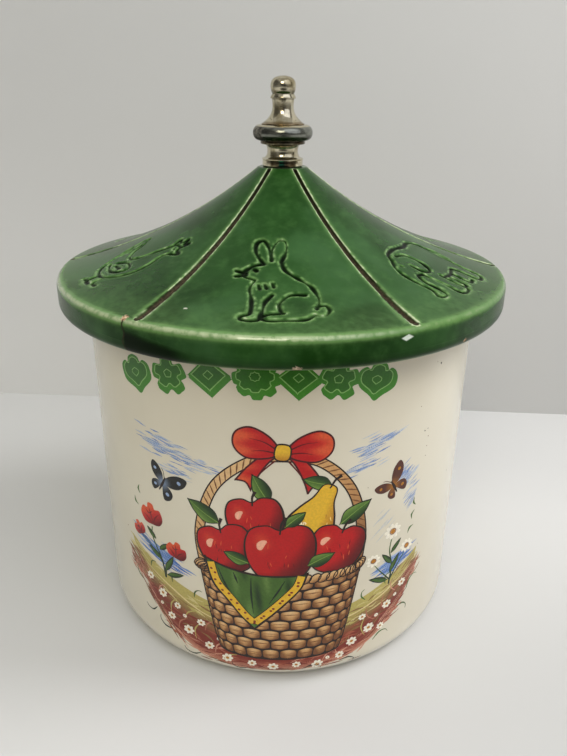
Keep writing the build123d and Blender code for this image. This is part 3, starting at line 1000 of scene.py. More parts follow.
# shapes in one group of printed colours
class Decal:
    def __init__(self):
        self.bm = bmesh.new()
        self.ink = self.bm.verts.layers.float_color.new("ink")

    # a closed sheet from flat faces, which run anticlockwise seen from outside
    def sheet(self, flat, faces, color, layer):
        color = ink[color] if isinstance(color, str) else color
        tints = [rgb(*tint) for tint in np.broadcast_to(np.array(color, float), (len(flat), 3))]
        shell = []
        for out in (printed["rise"] + layer * printed["layer"], -printed["sink"]):
            shell.append([self.bm.verts.new(p) for p in onWall(flat, out)])
            for vert, tint in zip(shell[-1], tints):
                vert[self.ink] = tint
        top, low = shell
        sides = {(a, b) for face in faces for a, b in zip(face, face[1:] + face[:1])}
        for face in faces:
            self.bm.faces.new([top[k] for k in face])
            self.bm.faces.new([low[k] for k in reversed(face)])
        for a, b in sides:
            if (b, a) not in sides:
                self.bm.faces.new((top[b], top[a], low[a], low[b]))

    # a closed shape; its color may be a function of the points
    def fill(self, outline, color, layer=0, step=None):
        edge = evenly(np.array(outline, float), step or printed["step"], closed=True)
        loop = np.vstack((edge, edge[:1]))
        low, high = edge.min(axis=0), edge.max(axis=0)
        u, v = np.meshgrid(*(np.arange(low[k], high[k], printed["mesh"]) for k in (0, 1)))
        shift = (np.arange(len(u)) % 2)[:, None] * printed["mesh"] / 2  # of each second row
        inner = np.column_stack(((u + shift).ravel(), v.ravel()))
        inner = inner[lineDistance(inner, loop) > printed["mesh"] * 0.45]
        points = [Vector(p) for p in np.vstack((edge, inner))]
        rim = [(k, (k + 1) % len(edge)) for k in range(len(edge))]
        flat, _, faces, *_ = geometry.delaunay_2d_cdt(points, rim, [], 1, 1e-5)
        flat = np.array([p[:] for p in flat])
        self.sheet(flat, faces, color(flat) if callable(color) else color, layer)

    # a brush line whose width runs through the given values; a list of colours makes a ramp along it
    def line(self, path, widths, color, layer=0, closed=False):
        path = evenly(np.array(path, float), printed["step"], closed)
        ahead = np.roll(path, -1, axis=0) - np.roll(path, 1, axis=0)
        if not closed:
            ahead[0], ahead[-1] = path[1] - path[0], path[-1] - path[-2]
        side = np.column_stack((-ahead[:, 1], ahead[:, 0])) / np.maximum(np.hypot(*ahead.T), 1e-6)[:, None]
        count = len(path)
        along = np.linspace(0, 1, count)
        half = np.interp(along, np.linspace(0, 1, len(widths)), widths)[:, None] / 2
        spans = range(count if closed else count - 1)
        faces = [(k, count + k, count + (k + 1) % count, (k + 1) % count) for k in spans]
        if isinstance(color, list):
            color = np.vstack([ramp(along, *color)] * 2)
        self.sheet(np.vstack((path + side * half, path - side * half)), faces, color, layer)

    # a smooth line through a motif's points, which is turned, scaled and moved
    def stroke(self, points, widths, color, layer, at=(0, 0), size=1.0, angle=0.0):
        self.line(placed(smoothStroke(points), at, size, angle), widths, color, layer)

    def outlined(self, outline, color, edge, layer, width):
        self.fill(outline, color, layer)
        self.line(outline, [width], edge, layer + 1, closed=True)

    def finish(self, name):
        loose = [vert for vert in self.bm.verts if not vert.link_faces]
        bmesh.ops.delete(self.bm, geom=loose, context="VERTS")
        print(name, "faces:", len(self.bm.faces))
        finishPiece(self.bm, name, "jar", [printInk], sharp=60)


# Seven block ornaments on an arch under the lid, each with a pale inline and a deep drop edge
band = {"kinds": ("fan", "flower", "lozenge", "rosette", "lozenge", "flower", "fan"),
        "places": (-65.5, -47, -28.4, -9.4, 7.6, 23.6, 40.2), "crest": -5.0, "top": 160.2, "sag": 0.0021,
        "drop": (0.5, -1.3), "dropSteps": 2, "raise": (-0.2, 0.3), "inset": 0.8, "bud": 0.3, "inline": 0.42}
ornaments = {
    "fan": [(0, -7.6), (-3.2, -5.2), (-8.6, -1.4), (-9, 3.4), (-6.2, 5.6), (-4.2, 4.8), (-3.2, 7), (0, 8.2),
            (3.2, 7), (4.2, 4.8), (6.2, 5.6), (9, 3.4), (8.6, -1.4), (3.2, -5.2)],
    "flower": oval(8.4, 7.8, 20, notch=0.68, start=math.pi / 2),
    "lozenge": [(0, 8.2), (0, 8.2), (4.2, 4.4), (9.2, 0), (9.2, 0), (4.2, -4.4), (0, -8.2), (0, -8.2),
                (-4.2, -4.4), (-9.2, 0), (-9.2, 0), (-4.2, 4.4)],
    "rosette": oval(9.4, 8.4, 32, notch=0.82)}


def printBand():
    decal = Decal()
    for u, kind in zip(band["places"], band["kinds"]):
        v = band["top"] - band["sag"] * (u - band["crest"]) ** 2
        lean = -math.degrees(2 * band["sag"] * (u - band["crest"]))
        shape = smoothLoop(ornaments[kind])
        for step in range(band["dropSteps"] + 1):
            right, up = (d * (1 - step / band["dropSteps"]) for d in band["drop"])
            decal.fill(placed(shape, (u + right, v + up), 1.0, lean), "leaf", step, 0.6)
        middle = (u + band["raise"][0], v + band["raise"][1])
        face = placed(shape, middle, band["inset"], lean)
        decal.fill(face, "leafDeep", 3, 0.6)
        decal.line(face, [band["inline"]], "leafPale", 4, closed=True)
        bud = placed(shape, middle, band["inset"] * band["bud"], lean)
        decal.line(bud, [band["inline"] * 0.8], "leafPale", 4, closed=True)
    decal.finish("printBand")


# Fruit, leaves and flowers, each drawn about its own middle and ten units across

fruits = {
    "apple": {"outline": [(0, 7.8), (3.4, 9.4), (8, 8.2), (10, 3.4), (9.4, -2.8), (6.4, -8), (2.6, -9.6),
                          (0, -9), (-2.6, -9.6), (-6.4, -8), (-9.4, -2.8), (-10, 3.4), (-8, 8.2),
                          (-3.4, 9.4)],
              "tints": ("wine", "red", "coral"), "gleam": (238, 176, 146), "gleamAt": (-4.4, 2.6),
              "gleamPart": 13, "flecks": 9},
    "pear": {"outline": [(0, 14), (2.6, 13), (3.8, 8), (6.6, 2.6), (8.4, -3.6), (6, -9.4), (0, -11),
                         (-6, -9.4), (-8.4, -3.6), (-6.6, 2.6), (-3.8, 8), (-2.6, 13)],
             "tints": ("ochre", "yellow", (244, 220, 138)), "gleam": (250, 236, 190), "gleamAt": (-2.2, -3.4),
             "gleamPart": 16, "flecks": 5}}
gleamShape = [(-2.6, 1.4), (-.6, 2.6), (1.4, 2), (.2, .4), (-1.4, -1.6), (-2.8, -1)]


def drawFruit(decal, kind, at, size, angle, layer):
    fruit = fruits[kind]
    dark, body, light = fruit["tints"]
    outline = placed(smoothLoop(fruit["outline"]), at, size / 10, angle)
    loop = np.vstack((outline, outline[:1]))

    def shade(points):
        d = (points - np.array(at)) / size
        rim = np.clip(lineDistance(points, loop) / size / 0.5, 0, 1)
        lit = 0.5 - 0.5 * d[:, 0] + 0.38 * d[:, 1]
        return ramp(lit * (0.45 + 0.55 * rim), dark, body, body, light)

    decal.fill(outline, shade, layer)
    decal.line(outline, [0.5, 0.95, 0.6, 0.9, 0.5], "umber", layer + 1, closed=True)
    spot = placed([fruit["gleamAt"]], at, size / 10, angle)[0]
    gleam = placed(smoothLoop(gleamShape), spot, size / fruit["gleamPart"], angle + 8)
    decal.fill(gleam, fruit["gleam"], layer + 1)
    top = fruit["outline"][0][1]
    stalk = placed([(0, top - 1.4), (.4, top + 2), (1.8, top + 4.2)], at, size / 10, angle)
    decal.line(stalk, [0.7, 0.9, 1.5], "umber", layer + 1)
    for k in range(fruit["flecks"]):
        spot = placed([(brush.uniform(-6, 6), brush.uniform(-6, 2))], at, size / 10, angle)[0]
        fleck = np.array([spot, spot + np.array([brush.uniform(-.8, .8), brush.uniform(1.6, 3.4)])])
        decal.line(fleck, [0.1, 0.5, 0.1], light if k % 2 else dark, layer + 1)


def drawLeaf(decal, at, length, width, angle, layer, light="moss"):
    outline = placed(smoothLoop([
        (0, 0), (0, 0), (length * 0.3, width * 0.5), (length * 0.7, width * 0.36), (length, 0), (length, 0),
        (length * 0.68, -width * 0.4), (length * 0.28, -width * 0.46)]), at, 1, angle)

    def shade(points):
        turned = placed(points - np.array(at), (0, 0), 1, -angle)
        return ramp(0.35 + turned[:, 1] / width + 0.25 * turned[:, 0] / length, "pine", "green", light)

    decal.fill(outline, shade, layer)
    decal.line(outline, [0.3, 0.6, 0.3], "pine", layer + 1, closed=True)
    decal.stroke([(0, 0), (length * 0.5, width * 0.05), (length * 0.96, 0)], [0.5, 0.2], light, layer + 1,
                 at, 1, angle)


def drawDaisy(decal, at, size, layer, petals=7, turn=0.0):
    ring = []
    for k in range(petals * 6):
        a = math.tau * k / petals / 6
        reach = 1.0 - 0.34 * (abs(k % 6 - 3) / 3) ** 2
        ring.append((reach * math.cos(a), 0.86 * reach * math.sin(a)))

    def shade(points):
        return ramp(np.hypot(*(points - np.array(at)).T) / size, (206, 186, 150), "white", "white")

    decal.fill(placed(ring, at, size, turn), shade, layer, 0.5)
    decal.fill(placed(oval(.3, .26, 8), at, size), "ochre", layer + 1, 0.5)


poppy = {"petals": [(0, -4), (-5, -3.4), (-7.6, 1), (-5.4, 5.4), (-2.4, 5), (-1.2, 8), (2, 7.6), (3, 5),
                    (6.4, 5), (7.6, 0), (5, -3.6)],
         "folds": ([(-5, 1), (-2, -1), (0, -3.4)], [(-1, 6), (0, 1), (.4, -3)],
                   [(5.6, 3), (2.4, 0), (1, -3.2)], [(-3.6, 4), (-1.4, 2), (1, 3.6)])}


def drawPoppy(decal, at, size, angle, layer):
    def shade(points):
        lit = 0.5 + (points[:, 1] - at[1]) / size * 0.9 - (points[:, 0] - at[0]) / size * 0.5
        return ramp(lit, "wine", "red", "coral")

    decal.fill(placed(smoothLoop(poppy["petals"]), at, size / 10, angle), shade, layer, 0.6)
    for fold in poppy["folds"]:
        decal.stroke(fold, [0.1, 0.7, 0.3], "wine", layer + 1, at, size / 10, angle)


# the upper and lower wing of one side, each with a spot
wings = [{"outline": [(0, 0), (0, 0), (1.4, 6), (6, 11), (11.4, 12.4), (12.2, 8), (9.6, 3.4), (5, .6)],
          "spot": (8.4, 7.6)},
         {"outline": [(0, 0), (0, 0), (5, -.2), (8.6, -2.4), (8.8, -6.4), (6, -9.2), (3.6, -7.4), (1.2, -3)],
          "spot": (5.6, -4.4)}]


# mirrors a motif's points where side is -1; the order turns too, so that a loop still runs the same way round
def mirrored(points, side):
    return [(x * side, y) for x, y in points][::side]


def drawButterfly(decal, at, size, angle, body, spots, layer):
    def shade(points):
        return ramp(np.hypot(*(points - np.array(at)).T) / 13 / size, spots, body, body)

    for side in (-1, 1):
        lean = angle + (0 if side > 0 else 12)
        shrink = size * (1.0 if side > 0 else 0.82)
        for wing in wings:
            outline = mirrored(smoothLoop(wing["outline"]), side)
            decal.fill(placed(outline, at, shrink, lean), shade, layer, 0.6)
            spot = placed(oval(1.3, 1.1, 10), (wing["spot"][0] * side, wing["spot"][1]))
            decal.fill(placed(spot, at, shrink, lean), spots, layer + 1, 0.5)
        feeler = [(0, 3), (2.4 * side, 6.6), (4.4 * side, 8)]
        decal.stroke(feeler, [0.35, 0.2], body, layer + 2, at, size, angle)
    decal.line(placed([(0, 4), (0.2, 0), (0, -6)], at, size, angle), [0.7, 1.5, 0.5], "umber", layer + 2)


# strokes scattered round a place, all leaning one way
def hatch(decal, at, spread, angle, length, count, colors, layer, width):
    for _ in range(count):
        middle = placed([(brush.gauss(0, spread[0] / 2.4), brush.gauss(0, spread[1] / 2.4))], at, 1, angle)[0]
        reach = length * brush.uniform(0.5, 1.1) / 2
        bow = brush.uniform(-0.06, 0.06) * reach
        path = smoothStroke([(-reach, 0), (0, bow), (reach, 0)])
        decal.line(placed(path, middle, 1, angle + brush.uniform(-5, 5)),
                   [0.08, width * brush.uniform(0.6, 1.3), 0.08], brush.choice(colors), layer)


skyBlues = [(168, 182, 206), (140, 160, 196), (118, 142, 188), (186, 194, 204)]
skyMist = [(190, 194, 196), (178, 186, 196)]
farHills = ["blue", (70, 104, 172), (104, 136, 188), (150, 172, 208)]
# each patch of sky is a place, its spread, the strokes' lean, length and number, their colours and width
skyPatches = [
    ((-55, 122), (17, 6), -7, 9, 56, skyBlues, 0.7), ((-38, 117), (14, 4), -9, 7, 40, skyBlues, 0.6),
    ((-47, 111), (10, 3), -5, 6, 22, skyBlues, 0.6), ((42, 126), (13, 5), 13, 9, 46, skyBlues, 0.7),
    ((36, 117), (11, 3), 15, 8, 26, skyBlues, 0.6), ((61, 104), (6, 10), 30, 6, 60, skyBlues, 0.65),
    ((64, 92), (3.5, 6), 40, 6, 22, skyBlues, 0.55), ((50, 84), (8, 12), 40, 8, 16, skyMist, 0.35),
    ((-58, 62), (14, 5), -16, 12, 90, farHills, 1.1), ((57, 59), (12, 5), 14, 11, 76, farHills, 1.1)]


def printSky():
    decal = Decal()
    for at, spread, angle, length, count, colors, width in skyPatches:
        hatch(decal, at, spread, angle, length, count, colors, 0, width)
    decal.finish("printSky")


# The bank under the basket. "tints" are its brush strokes' colours down to each depth; a stem is a place, a
# lean and a length, and a daisy is a place and a size.
bank = {
    "top": [(-80, 64), (-66, 57), (-48, 50), (-26, 44), (0, 42), (28, 43), (46, 48), (61, 55), (73, 62)],
    "foot": [(70, 45), (60, 29), (44, 17), (26, 10.5), (4, 8), (-18, 8.6), (-40, 13.6), (-58, 25), (-72, 44)],
    "strokes": 420,
    "tints": [(0.4, ["olive", "earth", (206, 192, 130)]), (0.75, ["rust", "earth", "brown", (160, 84, 60)]),
              (1.0, ["rust", "pink", (170, 96, 70), (116, 46, 38)])],
    "stems": [(-62, 38, 60, 9), (-54, 30, 75, 11), (-46, 30, 52, 10), (-40, 20, 80, 12), (-35, 27, 60, 9),
              (-30, 15, 66, 9), (38, 16, 118, 10), (43, 22, 98, 12), (48, 30, 128, 10), (54, 33, 104, 10),
              (60, 42, 122, 8), (-50, 22, 64, 10), (-26, 12, 40, 8), (33, 13, 140, 8)],
    "daisies": [(-67, 46, 2.6), (-59, 39.5, 3.0), (-50, 36, 2.2), (-54, 28, 2.6), (-44, 24, 3.2),
                (-37, 31, 2.4), (-33, 18.5, 2.7), (-24, 13.5, 3.0), (-12, 12.6, 2.3), (-2, 11, 2.8),
                (9, 12.2, 2.3), (19, 11.2, 3.1), (30, 14.5, 2.4), (36, 21, 2.9), (45, 26, 3.1), (52, 24, 2.3),
                (55, 36, 2.8), (64, 45, 2.6), (41, 34, 2.2), (-46, 31.5, 1.3), (-60, 33, 1.2), (-28, 24, 1.3),
                (24, 14.4, 1.2), (49, 32, 1.3), (60, 39.5, 1.2)],
    "blades": [(-73, 40, 130, 8), (-64, 28, 205, 8), (-54, 19.6, 160, 9), (-38, 12, 190, 9),
               (-14, 8.4, 172, 8), (12, 8.4, 8, 9), (30, 10.6, -12, 9), (48, 17, 20, 9), (62, 31, -22, 8),
               (68, 39, 48, 9), (-40, 45, 60, 6), (42, 44, 110, 6), (-52, 49, 75, 6), (53, 49, 80, 6),
               (-30, 38, 70, 6), (-66, 52, 60, 5)]}


def paintBankStrokes(decal, top, foot):
    for _ in range(bank["strokes"]):
        u, upper = top[int(brush.random() * (len(top) - 1))]
        lower = np.interp(u, foot[::-1, 0], foot[::-1, 1])
        depth = brush.random() ** 0.8
        colors = next(tints for limit, tints in bank["tints"] if depth < limit)
        lean = (u + 3) * 0.42 + brush.uniform(-14, 14) + (0 if depth < 0.5 else brush.choice((-14, 0, 22)))
        reach = brush.uniform(2.5, 6.5)
        path = smoothStroke([(-reach, 0), (0, brush.uniform(-1.2, 1.2)), (reach, 0)])
        decal.line(placed(path, (u, upper + (lower - upper) * depth), 1, lean),
                   [0.1, brush.uniform(0.5, 1.5), 0.1], brush.choice(colors), 2)
    for side in (-1, 1):  # the ends of the bank run out in single strokes
        hatch(decal, (-3 + side * 71, 50), (8, 5), side * 38, 10, 34, ["rust", "earth", "pink"], 2, 0.9)
        hatch(decal, (-3 + side * 58, 29), (20, 2.4), side * 46, 11, 40, ["rust", "pink", "brown"], 2, 0.9)
    hatch(decal, (-3, 9.4), (44, 1.2), 0, 10, 40, ["rust", "pink", "brown"], 2, 0.8)


def printBank():
    decal = Decal()
    top, foot = smoothStroke(bank["top"]), smoothStroke(bank["foot"])

    def shade(points):
        upper = np.interp(points[:, 0], top[:, 0], top[:, 1])
        lower = np.interp(points[:, 0], foot[::-1, 0], foot[::-1, 1])
        depth = (upper - points[:, 1]) / np.maximum(upper - lower, 2)
        return ramp(depth, "olive", "olive", "earth", "rust", "rust", "pink")

    decal.fill(np.vstack((top, foot))[::-1], shade, 1)
    paintBankStrokes(decal, top, foot)
    for u, v, lean, length in bank["stems"]:
        stem = [(0, 0), (length * .5, length * .12), (length, -length * .12)]
        tint = brush.choice(["pink", "olive", (176, 110, 84)])
        decal.stroke(stem, [0.2, 0.8, 0.2], tint, 3, (u, v), 1, lean)
    for side, bend in ((-1, 0.0), (1, 1.5)):  # a trodden path's pale edge
        path = [(side * 70, 53), (side * 52, 45 - bend), (side * 36, 37.5), (side * 18, 33)]
        decal.stroke(path, [0.2, 0.9, 0.6, 0.2], (220, 202, 146), 3)
    for u, v, size in bank["daisies"]:
        drawDaisy(decal, (u, v), size, 4, turn=brush.uniform(0, 50))
    for u, v, lean, length in bank["blades"]:
        blade = [(0, 0), (length * .5, length * .2), (length * .9, length * .05), (length, -length * .24)]
        tint = brush.choice(["pine", "green", (66, 88, 44)])
        decal.stroke(blade, [0.3, 0.9, 0.5, 0.2], tint, 3, (u, v), 1, lean)
    decal.finish("printBank")


basket = {"middle": 1.0, "topHalf": 37.0, "footHalf": 28.0, "rim": 67.0, "foot": 21.0, "sag": 5.0, "rows": 8,
          "stakes": 11, "gap": 0.012, "twist": 3.4, "rimTwists": 26,
          "handle": [(-33, 62), (-35.5, 84), (-28, 108), (-12, 122.5), (4, 125), (19, 121), (32, 106),
                     (37.5, 84), (35.5, 62)]}


# a point on the basket's side: across runs from -1 to 1, up from 0 at the foot to 1 at the rim
def onBasket(across, up):
    half = basket["footHalf"] + (basket["topHalf"] - basket["footHalf"]) * up ** 0.8
    sag = basket["sag"] * (1 - across ** 2)
    return (basket["middle"] + half * math.sin(across * math.pi / 2),
            basket["foot"] + (basket["rim"] - basket["foot"]) * up - sag)


def drawHandle(decal):
    handle = smoothStroke(basket["handle"], 10)
    decal.line(handle, [5.2, 4.8, 5.2], "umber", 3)
    decal.line(handle, [3.9, 3.5, 3.9], ["tan", "straw", "tan", "brown"], 4)
    twist = evenly(handle, basket["twist"])
    for a, b in zip(twist, twist[1:]):
        run = (b - a) / np.hypot(*(b - a))
        side = np.array((-run[1], run[0]))
        decal.stroke([a - side * 1.9, (a + b) / 2, b + side * 1.9], [0.3, 0.75, 0.3], "brown", 5)


# one cane's face where it passes over a stake, between two places across and two levels
def drawCane(decal, start, end, low, high):
    middle = (start + end) / 2
    marks = [(start, .2), (start + .02, .04), (middle, -.06), (end - .02, .04), (end, .2), (end, .8),
             (end - .02, .96), (middle, 1.06), (start + .02, .96), (start, .8)]
    shape = smoothLoop([onBasket(a, low + (high - low) * b) for a, b in marks], 3)
    centre = onBasket(middle, (low + high) / 2)
    reach = abs(onBasket(end, low)[0] - onBasket(start, low)[0]) / 2
    depth = 0.1 + 0.5 * abs(middle + 0.25) ** 2 + 0.3 * (1 - low) ** 2

    def shade(points):
        off = np.abs(points[:, 0] - centre[0]) / reach
        lift = (points[:, 1] - centre[1]) / 6
        return ramp(1.0 - 0.8 * off ** 1.6 + lift - depth, "brown", "tan", "straw")

    decal.fill(shape, shade, 7, 0.8)
    for _ in range(2):
        level = low + (high - low) * brush.uniform(0.3, 0.7)
        decal.line([onBasket(start + 0.02, level), onBasket(end - 0.02, level)], [0.1, 0.35, 0.1], "brown", 8)


def printBasket():
    decal = Decal()
    drawHandle(decal)
    sides = [onBasket(1, k / 8) for k in range(9)] + [onBasket(1 - k / 10, 1) for k in range(21)]
    sides += [onBasket(-1, 1 - k / 8) for k in range(9)] + [onBasket(-1 + k / 10, 0) for k in range(1, 20)]
    decal.outlined(sides, "umber", "umber", 6, 1.2)
    rows, stakes = basket["rows"], basket["stakes"]
    for row in range(rows):
        low, high = row / rows + basket["gap"], (row + 1) / rows - basket["gap"]
        for stake in range(-stakes - 1, stakes + 1, 2):
            start = max((stake + row % 2 + 0.1) / stakes, -0.99)
            end = min((stake + row % 2 + 1.9) / stakes, 0.99)
            if end - start >= 0.05:
                drawCane(decal, start, end, low, high)
    decal.finish("printBasket")


cloth = {"outline": [(-33, 70.5), (-33, 70.5), (-22, 67), (-8, 64.6), (9, 64.6), (13, 65.5), (13, 65.5),
                     (10.4, 58), (5, 51), (-3, 42), (-10.6, 34), (-10.6, 34), (-16, 40), (-23, 49),
                     (-30, 58)],
         "hem": [(10.4, 64.4), (8.4, 58.6), (3.4, 52.4), (-4, 44.2), (-10.6, 37.6), (-10.6, 37.6), (-15, 42),
                 (-21, 50), (-27.6, 58.4), (-30.6, 68.6)],
         "folds": ([(-27, 66), (-24, 58), (-20, 50)], [(-12, 63), (-12, 54), (-11, 43)],
                   [(3, 62), (0, 56), (-4, 49)], [(-20, 65), (-18, 59)])}


def drawCloth(decal):
    def shade(points):
        folds = 0.28 * np.sin(points[:, 0] * 0.42 + points[:, 1] * 0.16) + 0.16 * np.sin(points[:, 0] * 0.9)
        return ramp(0.5 + folds, "pine", "green", "green", (104, 134, 66))

    decal.outlined(smoothLoop(cloth["outline"]), shade, "umber", 26, 0.9)
    hem = smoothStroke(cloth["hem"])
    decal.line(hem, [4.2], "umber", 28)
    decal.line(hem, [3.4], "yellow", 29)
    for number, middle in enumerate(evenly(hem, 3.2)[1:-1]):
        decal.fill(placed(oval(.72, .62, 8), middle + (0.5 if number % 2 else -0.5)), "rust", 30, 0.5)
    for fold in cloth["folds"]:
        decal.stroke(fold, [0.3, 1.0, 0.15], "pine", 27)


def drawRimTwist(decal, across):
    u, v = onBasket(across, 1.0)
    shape = smoothLoop([(-2.6, -1.8), (-.6, -2.4), (2, -.8), (2.9, 1.6), (1, 2.6), (-1.8, 1)])
    twist = placed(shape, (u, v), 1.0, across * 14)

    def shade(points):
        return ramp(0.55 + (points[:, 1] - v) / 4 - (points[:, 0] - u) / 9, "brown", "tan", "straw")

    decal.fill(twist, shade, 24, 0.8)
    decal.line(twist, [0.55], "umber", 25, closed=True)


def printRim():
    decal = Decal()
    for k in range(basket["rimTwists"]):
        drawRimTwist(decal, -1.02 + 2.04 * (k + 0.5) / basket["rimTwists"])
    drawCloth(decal)
    decal.finish("printRim")


# What lies in the basket, from the back to the front. A leaf is a place, a length, a width and a lean, and a
# fruit is its kind, a place, a size, a lean and its layer.
backLeaves = [((-26, 90), 17, 8, 148), ((-4, 103), 15, 7.5, 118), ((27, 90), 17, 8, 34),
              ((22.5, 110.5), 13, 6.5, 163)]
heap = [("pear", (15, 94), 13.0, -24, 11), ("apple", (-10, 93), 12.5, 8, 13),
        ("apple", (-23, 77), 13.0, 16, 15), ("apple", (26, 77), 13.0, -14, 17),
        ("apple", (1, 77), 15.5, 2, 19)]
frontLeaves = [((13, 70), 13, 6.5, 24), ((-13, 71), 12, 6, 158), ((3, 91), 11, 5.5, 40)]


def printFruit():
    decal = Decal()
    for leaf in backLeaves:
        drawLeaf(decal, *leaf, 9)
    for fruit in heap:
        drawFruit(decal, *fruit)
    for leaf in frontLeaves:
        drawLeaf(decal, *leaf, 21)
    decal.finish("printFruit")


ribbon = {"place": (1.5, 127), "lean": -4,
          "loop": [(0, 0), (0, 0), (6, 7), (14, 10.5), (20, 7.4), (20.4, 1), (15, -3.6), (6, -3)],
          "tail": [(0, 0), (0, 0), (5.4, -5), (10, -13.4), (12, -19), (12, -19), (14.4, -15.4), (18.6, -15),
                   (18.6, -15), (14, -8), (7, -1)],
          "folds": ([(2, 1), (8, 4.4), (14, 5.4)], [(2.4, -.4), (8, .4), (13, -.4)],
                    [(3, -4), (7, -8.6), (10, -13)]),
          "knot": [(-2.6, 3.4), (0, 4), (2.8, 3.2), (3.4, 0), (2.6, -3), (0, -3.8), (-2.8, -3), (-3.4, 0)]}


def printRibbon():
    decal = Decal()
    at, lean = ribbon["place"], ribbon["lean"]

    def shade(points):
        reach = np.abs(points[:, 0] - at[0])
        return ramp(0.25 + reach / 24 + 0.12 * np.sin(points[:, 1] * 0.9), "wine", "red", "red", "coral")

    for side in (-1, 1):
        for part, layer in (("tail", 6), ("loop", 8)):
            outline = placed(mirrored(smoothLoop(ribbon[part]), side), at, 1, lean)
            decal.fill(outline, shade, layer, 0.8)
            decal.line(outline, [0.8], (70, 14, 16), layer + 1, closed=True)
        for fold in ribbon["folds"]:
            decal.stroke([(x * side, y) for x, y in fold], [0.8, 0.5, 0.1], "wine", 10, at, 1, lean)
    knot = placed(smoothLoop(ribbon["knot"]), at, 1, lean)
    decal.outlined(knot, lambda p: ramp((p[:, 1] - 123) / 8, "ochre", "yellow", "yellow"), "umber", 11, 0.7)
    decal.finish("printRibbon")


# Flowers on both sides of the basket. A stem is its points and widths, a leaf is a place, a length, a width
# and a lean, a poppy a place, a size and a lean, a daisy a place and a size, and a sprig a place and a lean.
posies = {
    "stems": (([(-56, 50), (-58, 60), (-63, 70), (-63, 76)], [1.1, 0.6]),
              ([(-56, 50), (-55, 58), (-51, 64)], [0.9, 0.5]),
              ([(-57, 58), (-65, 65), (-71, 68)], [0.8, 0.4]),
              ([(55, 48), (56, 58), (54, 68), (55, 75)], [1.0, 0.5]),
              ([(55, 50), (60, 58), (64, 63)], [0.9, 0.5]),
              ([(55, 51), (49, 58), (46, 62)], [0.8, 0.4])),
    "leaves": (((-58, 60), 9, 2.6, 152), ((-56, 54), 11, 2.8, 62), ((-59, 65), 8, 2.4, 40),
               ((-61, 70), 7, 2.2, 140), ((-55, 52), 10, 2.6, 20), ((55, 55), 10, 2.6, 60),
               ((56, 60), 9, 2.4, 132), ((55, 66), 8, 2.2, 48), ((54, 51), 11, 2.8, 160)),
    "poppies": (((-63, 81), 9.4, 6), ((-49, 67), 7.6, -10), ((-72.5, 70), 6.0, 30)),
    "daisies": (((55, 78), 5.0), ((65, 66), 4.2), ((45, 65), 4.0)),
    "sprigs": (((67, 80), 60), ((69, 87), 95), ((65, 73), 30), ((-72, 84), 110), ((-70, 91), 80))}


def printFlowers():
    decal = Decal()
    for path, widths in posies["stems"]:
        decal.stroke(path, widths, ["pine", "green"], 3)
    for leaf in posies["leaves"]:
        drawLeaf(decal, *leaf, 4, light="green")
    for at, size, angle in posies["poppies"]:
        drawPoppy(decal, at, size, angle, 6)
    for at, size in posies["daisies"]:
        drawDaisy(decal, at, size, 6, petals=9)
        decal.line(placed(oval(1, .86, 24), at, size * 0.36), [0.4], "brown", 8, closed=True)
    for at, lean in posies["sprigs"]:
        decal.stroke([(0, 0), (2, 1.6), (4.6, 1)], [0.2, 1.1, 0.1], "green", 4, at, 1, lean)
    decal.finish("printFlowers")


def printButterflies():
    decal = Decal()
    drawButterfly(decal, (-54, 103), 0.82, -28, "black", "sky", 3)
    drawButterfly(decal, (53, 103), 0.74, 30, (84, 46, 34), "ochre", 3)
    decal.finish("printButterflies")


# small burnt specks in the glaze; each is a place, a size and a colour
specks = [((70.3, 124.8), 0.42, "umber"), ((72.4, 125.3), 0.34, "umber"), ((73.2, 121.2), 0.3, "brown"),
          ((72.8, 116.4), 0.26, "brown"), ((77.6, 155), 0.5, "umber"), ((74.6, 156.4), 0.26, "brown"),
          ((37.7, 73.4), 0.5, (122, 116, 100)), ((66, 138), 0.24, "brown"), ((-84, 66), 0.3, "brown"),
          ((98, 92), 0.34, "umber"), ((-112, 118), 0.36, "brown"), ((150, 60), 0.4, "umber"),
          ((-150, 96), 0.3, "brown"), ((205, 130), 0.34, "brown"), ((262, 48), 0.3, "umber")]


def printSpecks():
    decal = Decal()
    for at, size, color in specks:
        ring = [(x * brush.uniform(0.7, 1), y * brush.uniform(0.7, 1)) for x, y in oval(1, 1.25, 9)]
        decal.fill(placed(ring, at, size, brush.uniform(-30, 30)), color, 0, 0.3)
    decal.finish("glazeSpecks")


printBand()
printSky()
printBank()
printBasket()
printRim()
printFruit()
printRibbon()
printFlowers()
printButterflies()
printSpecks()
print("print made")


# Stage, light and camera. The floor's colours run from front to back and the wall's from low to high, on the
# left and on the right, as painted shade and light.

stage = {"wallDistance": 0.215, "wallTurn": 3.7, "wallWidth": 2.6, "wallHeight": 0.75, "floorSize": 6.0,
         "floorColors": ((217, 204), (187, 219)), "floorRun": (-0.13, 0.06),
         "wallColors": ((227, 207), (203, 224)), "wallRun": (0.02, 0.32), "sideRun": (-0.27, 0.27),
         "paintedFloorShadow": {"middle": (0.05, -0.78, 0), "reach": (0.5, 0.4, 1), "color": rgb(40, 38, 36)}}
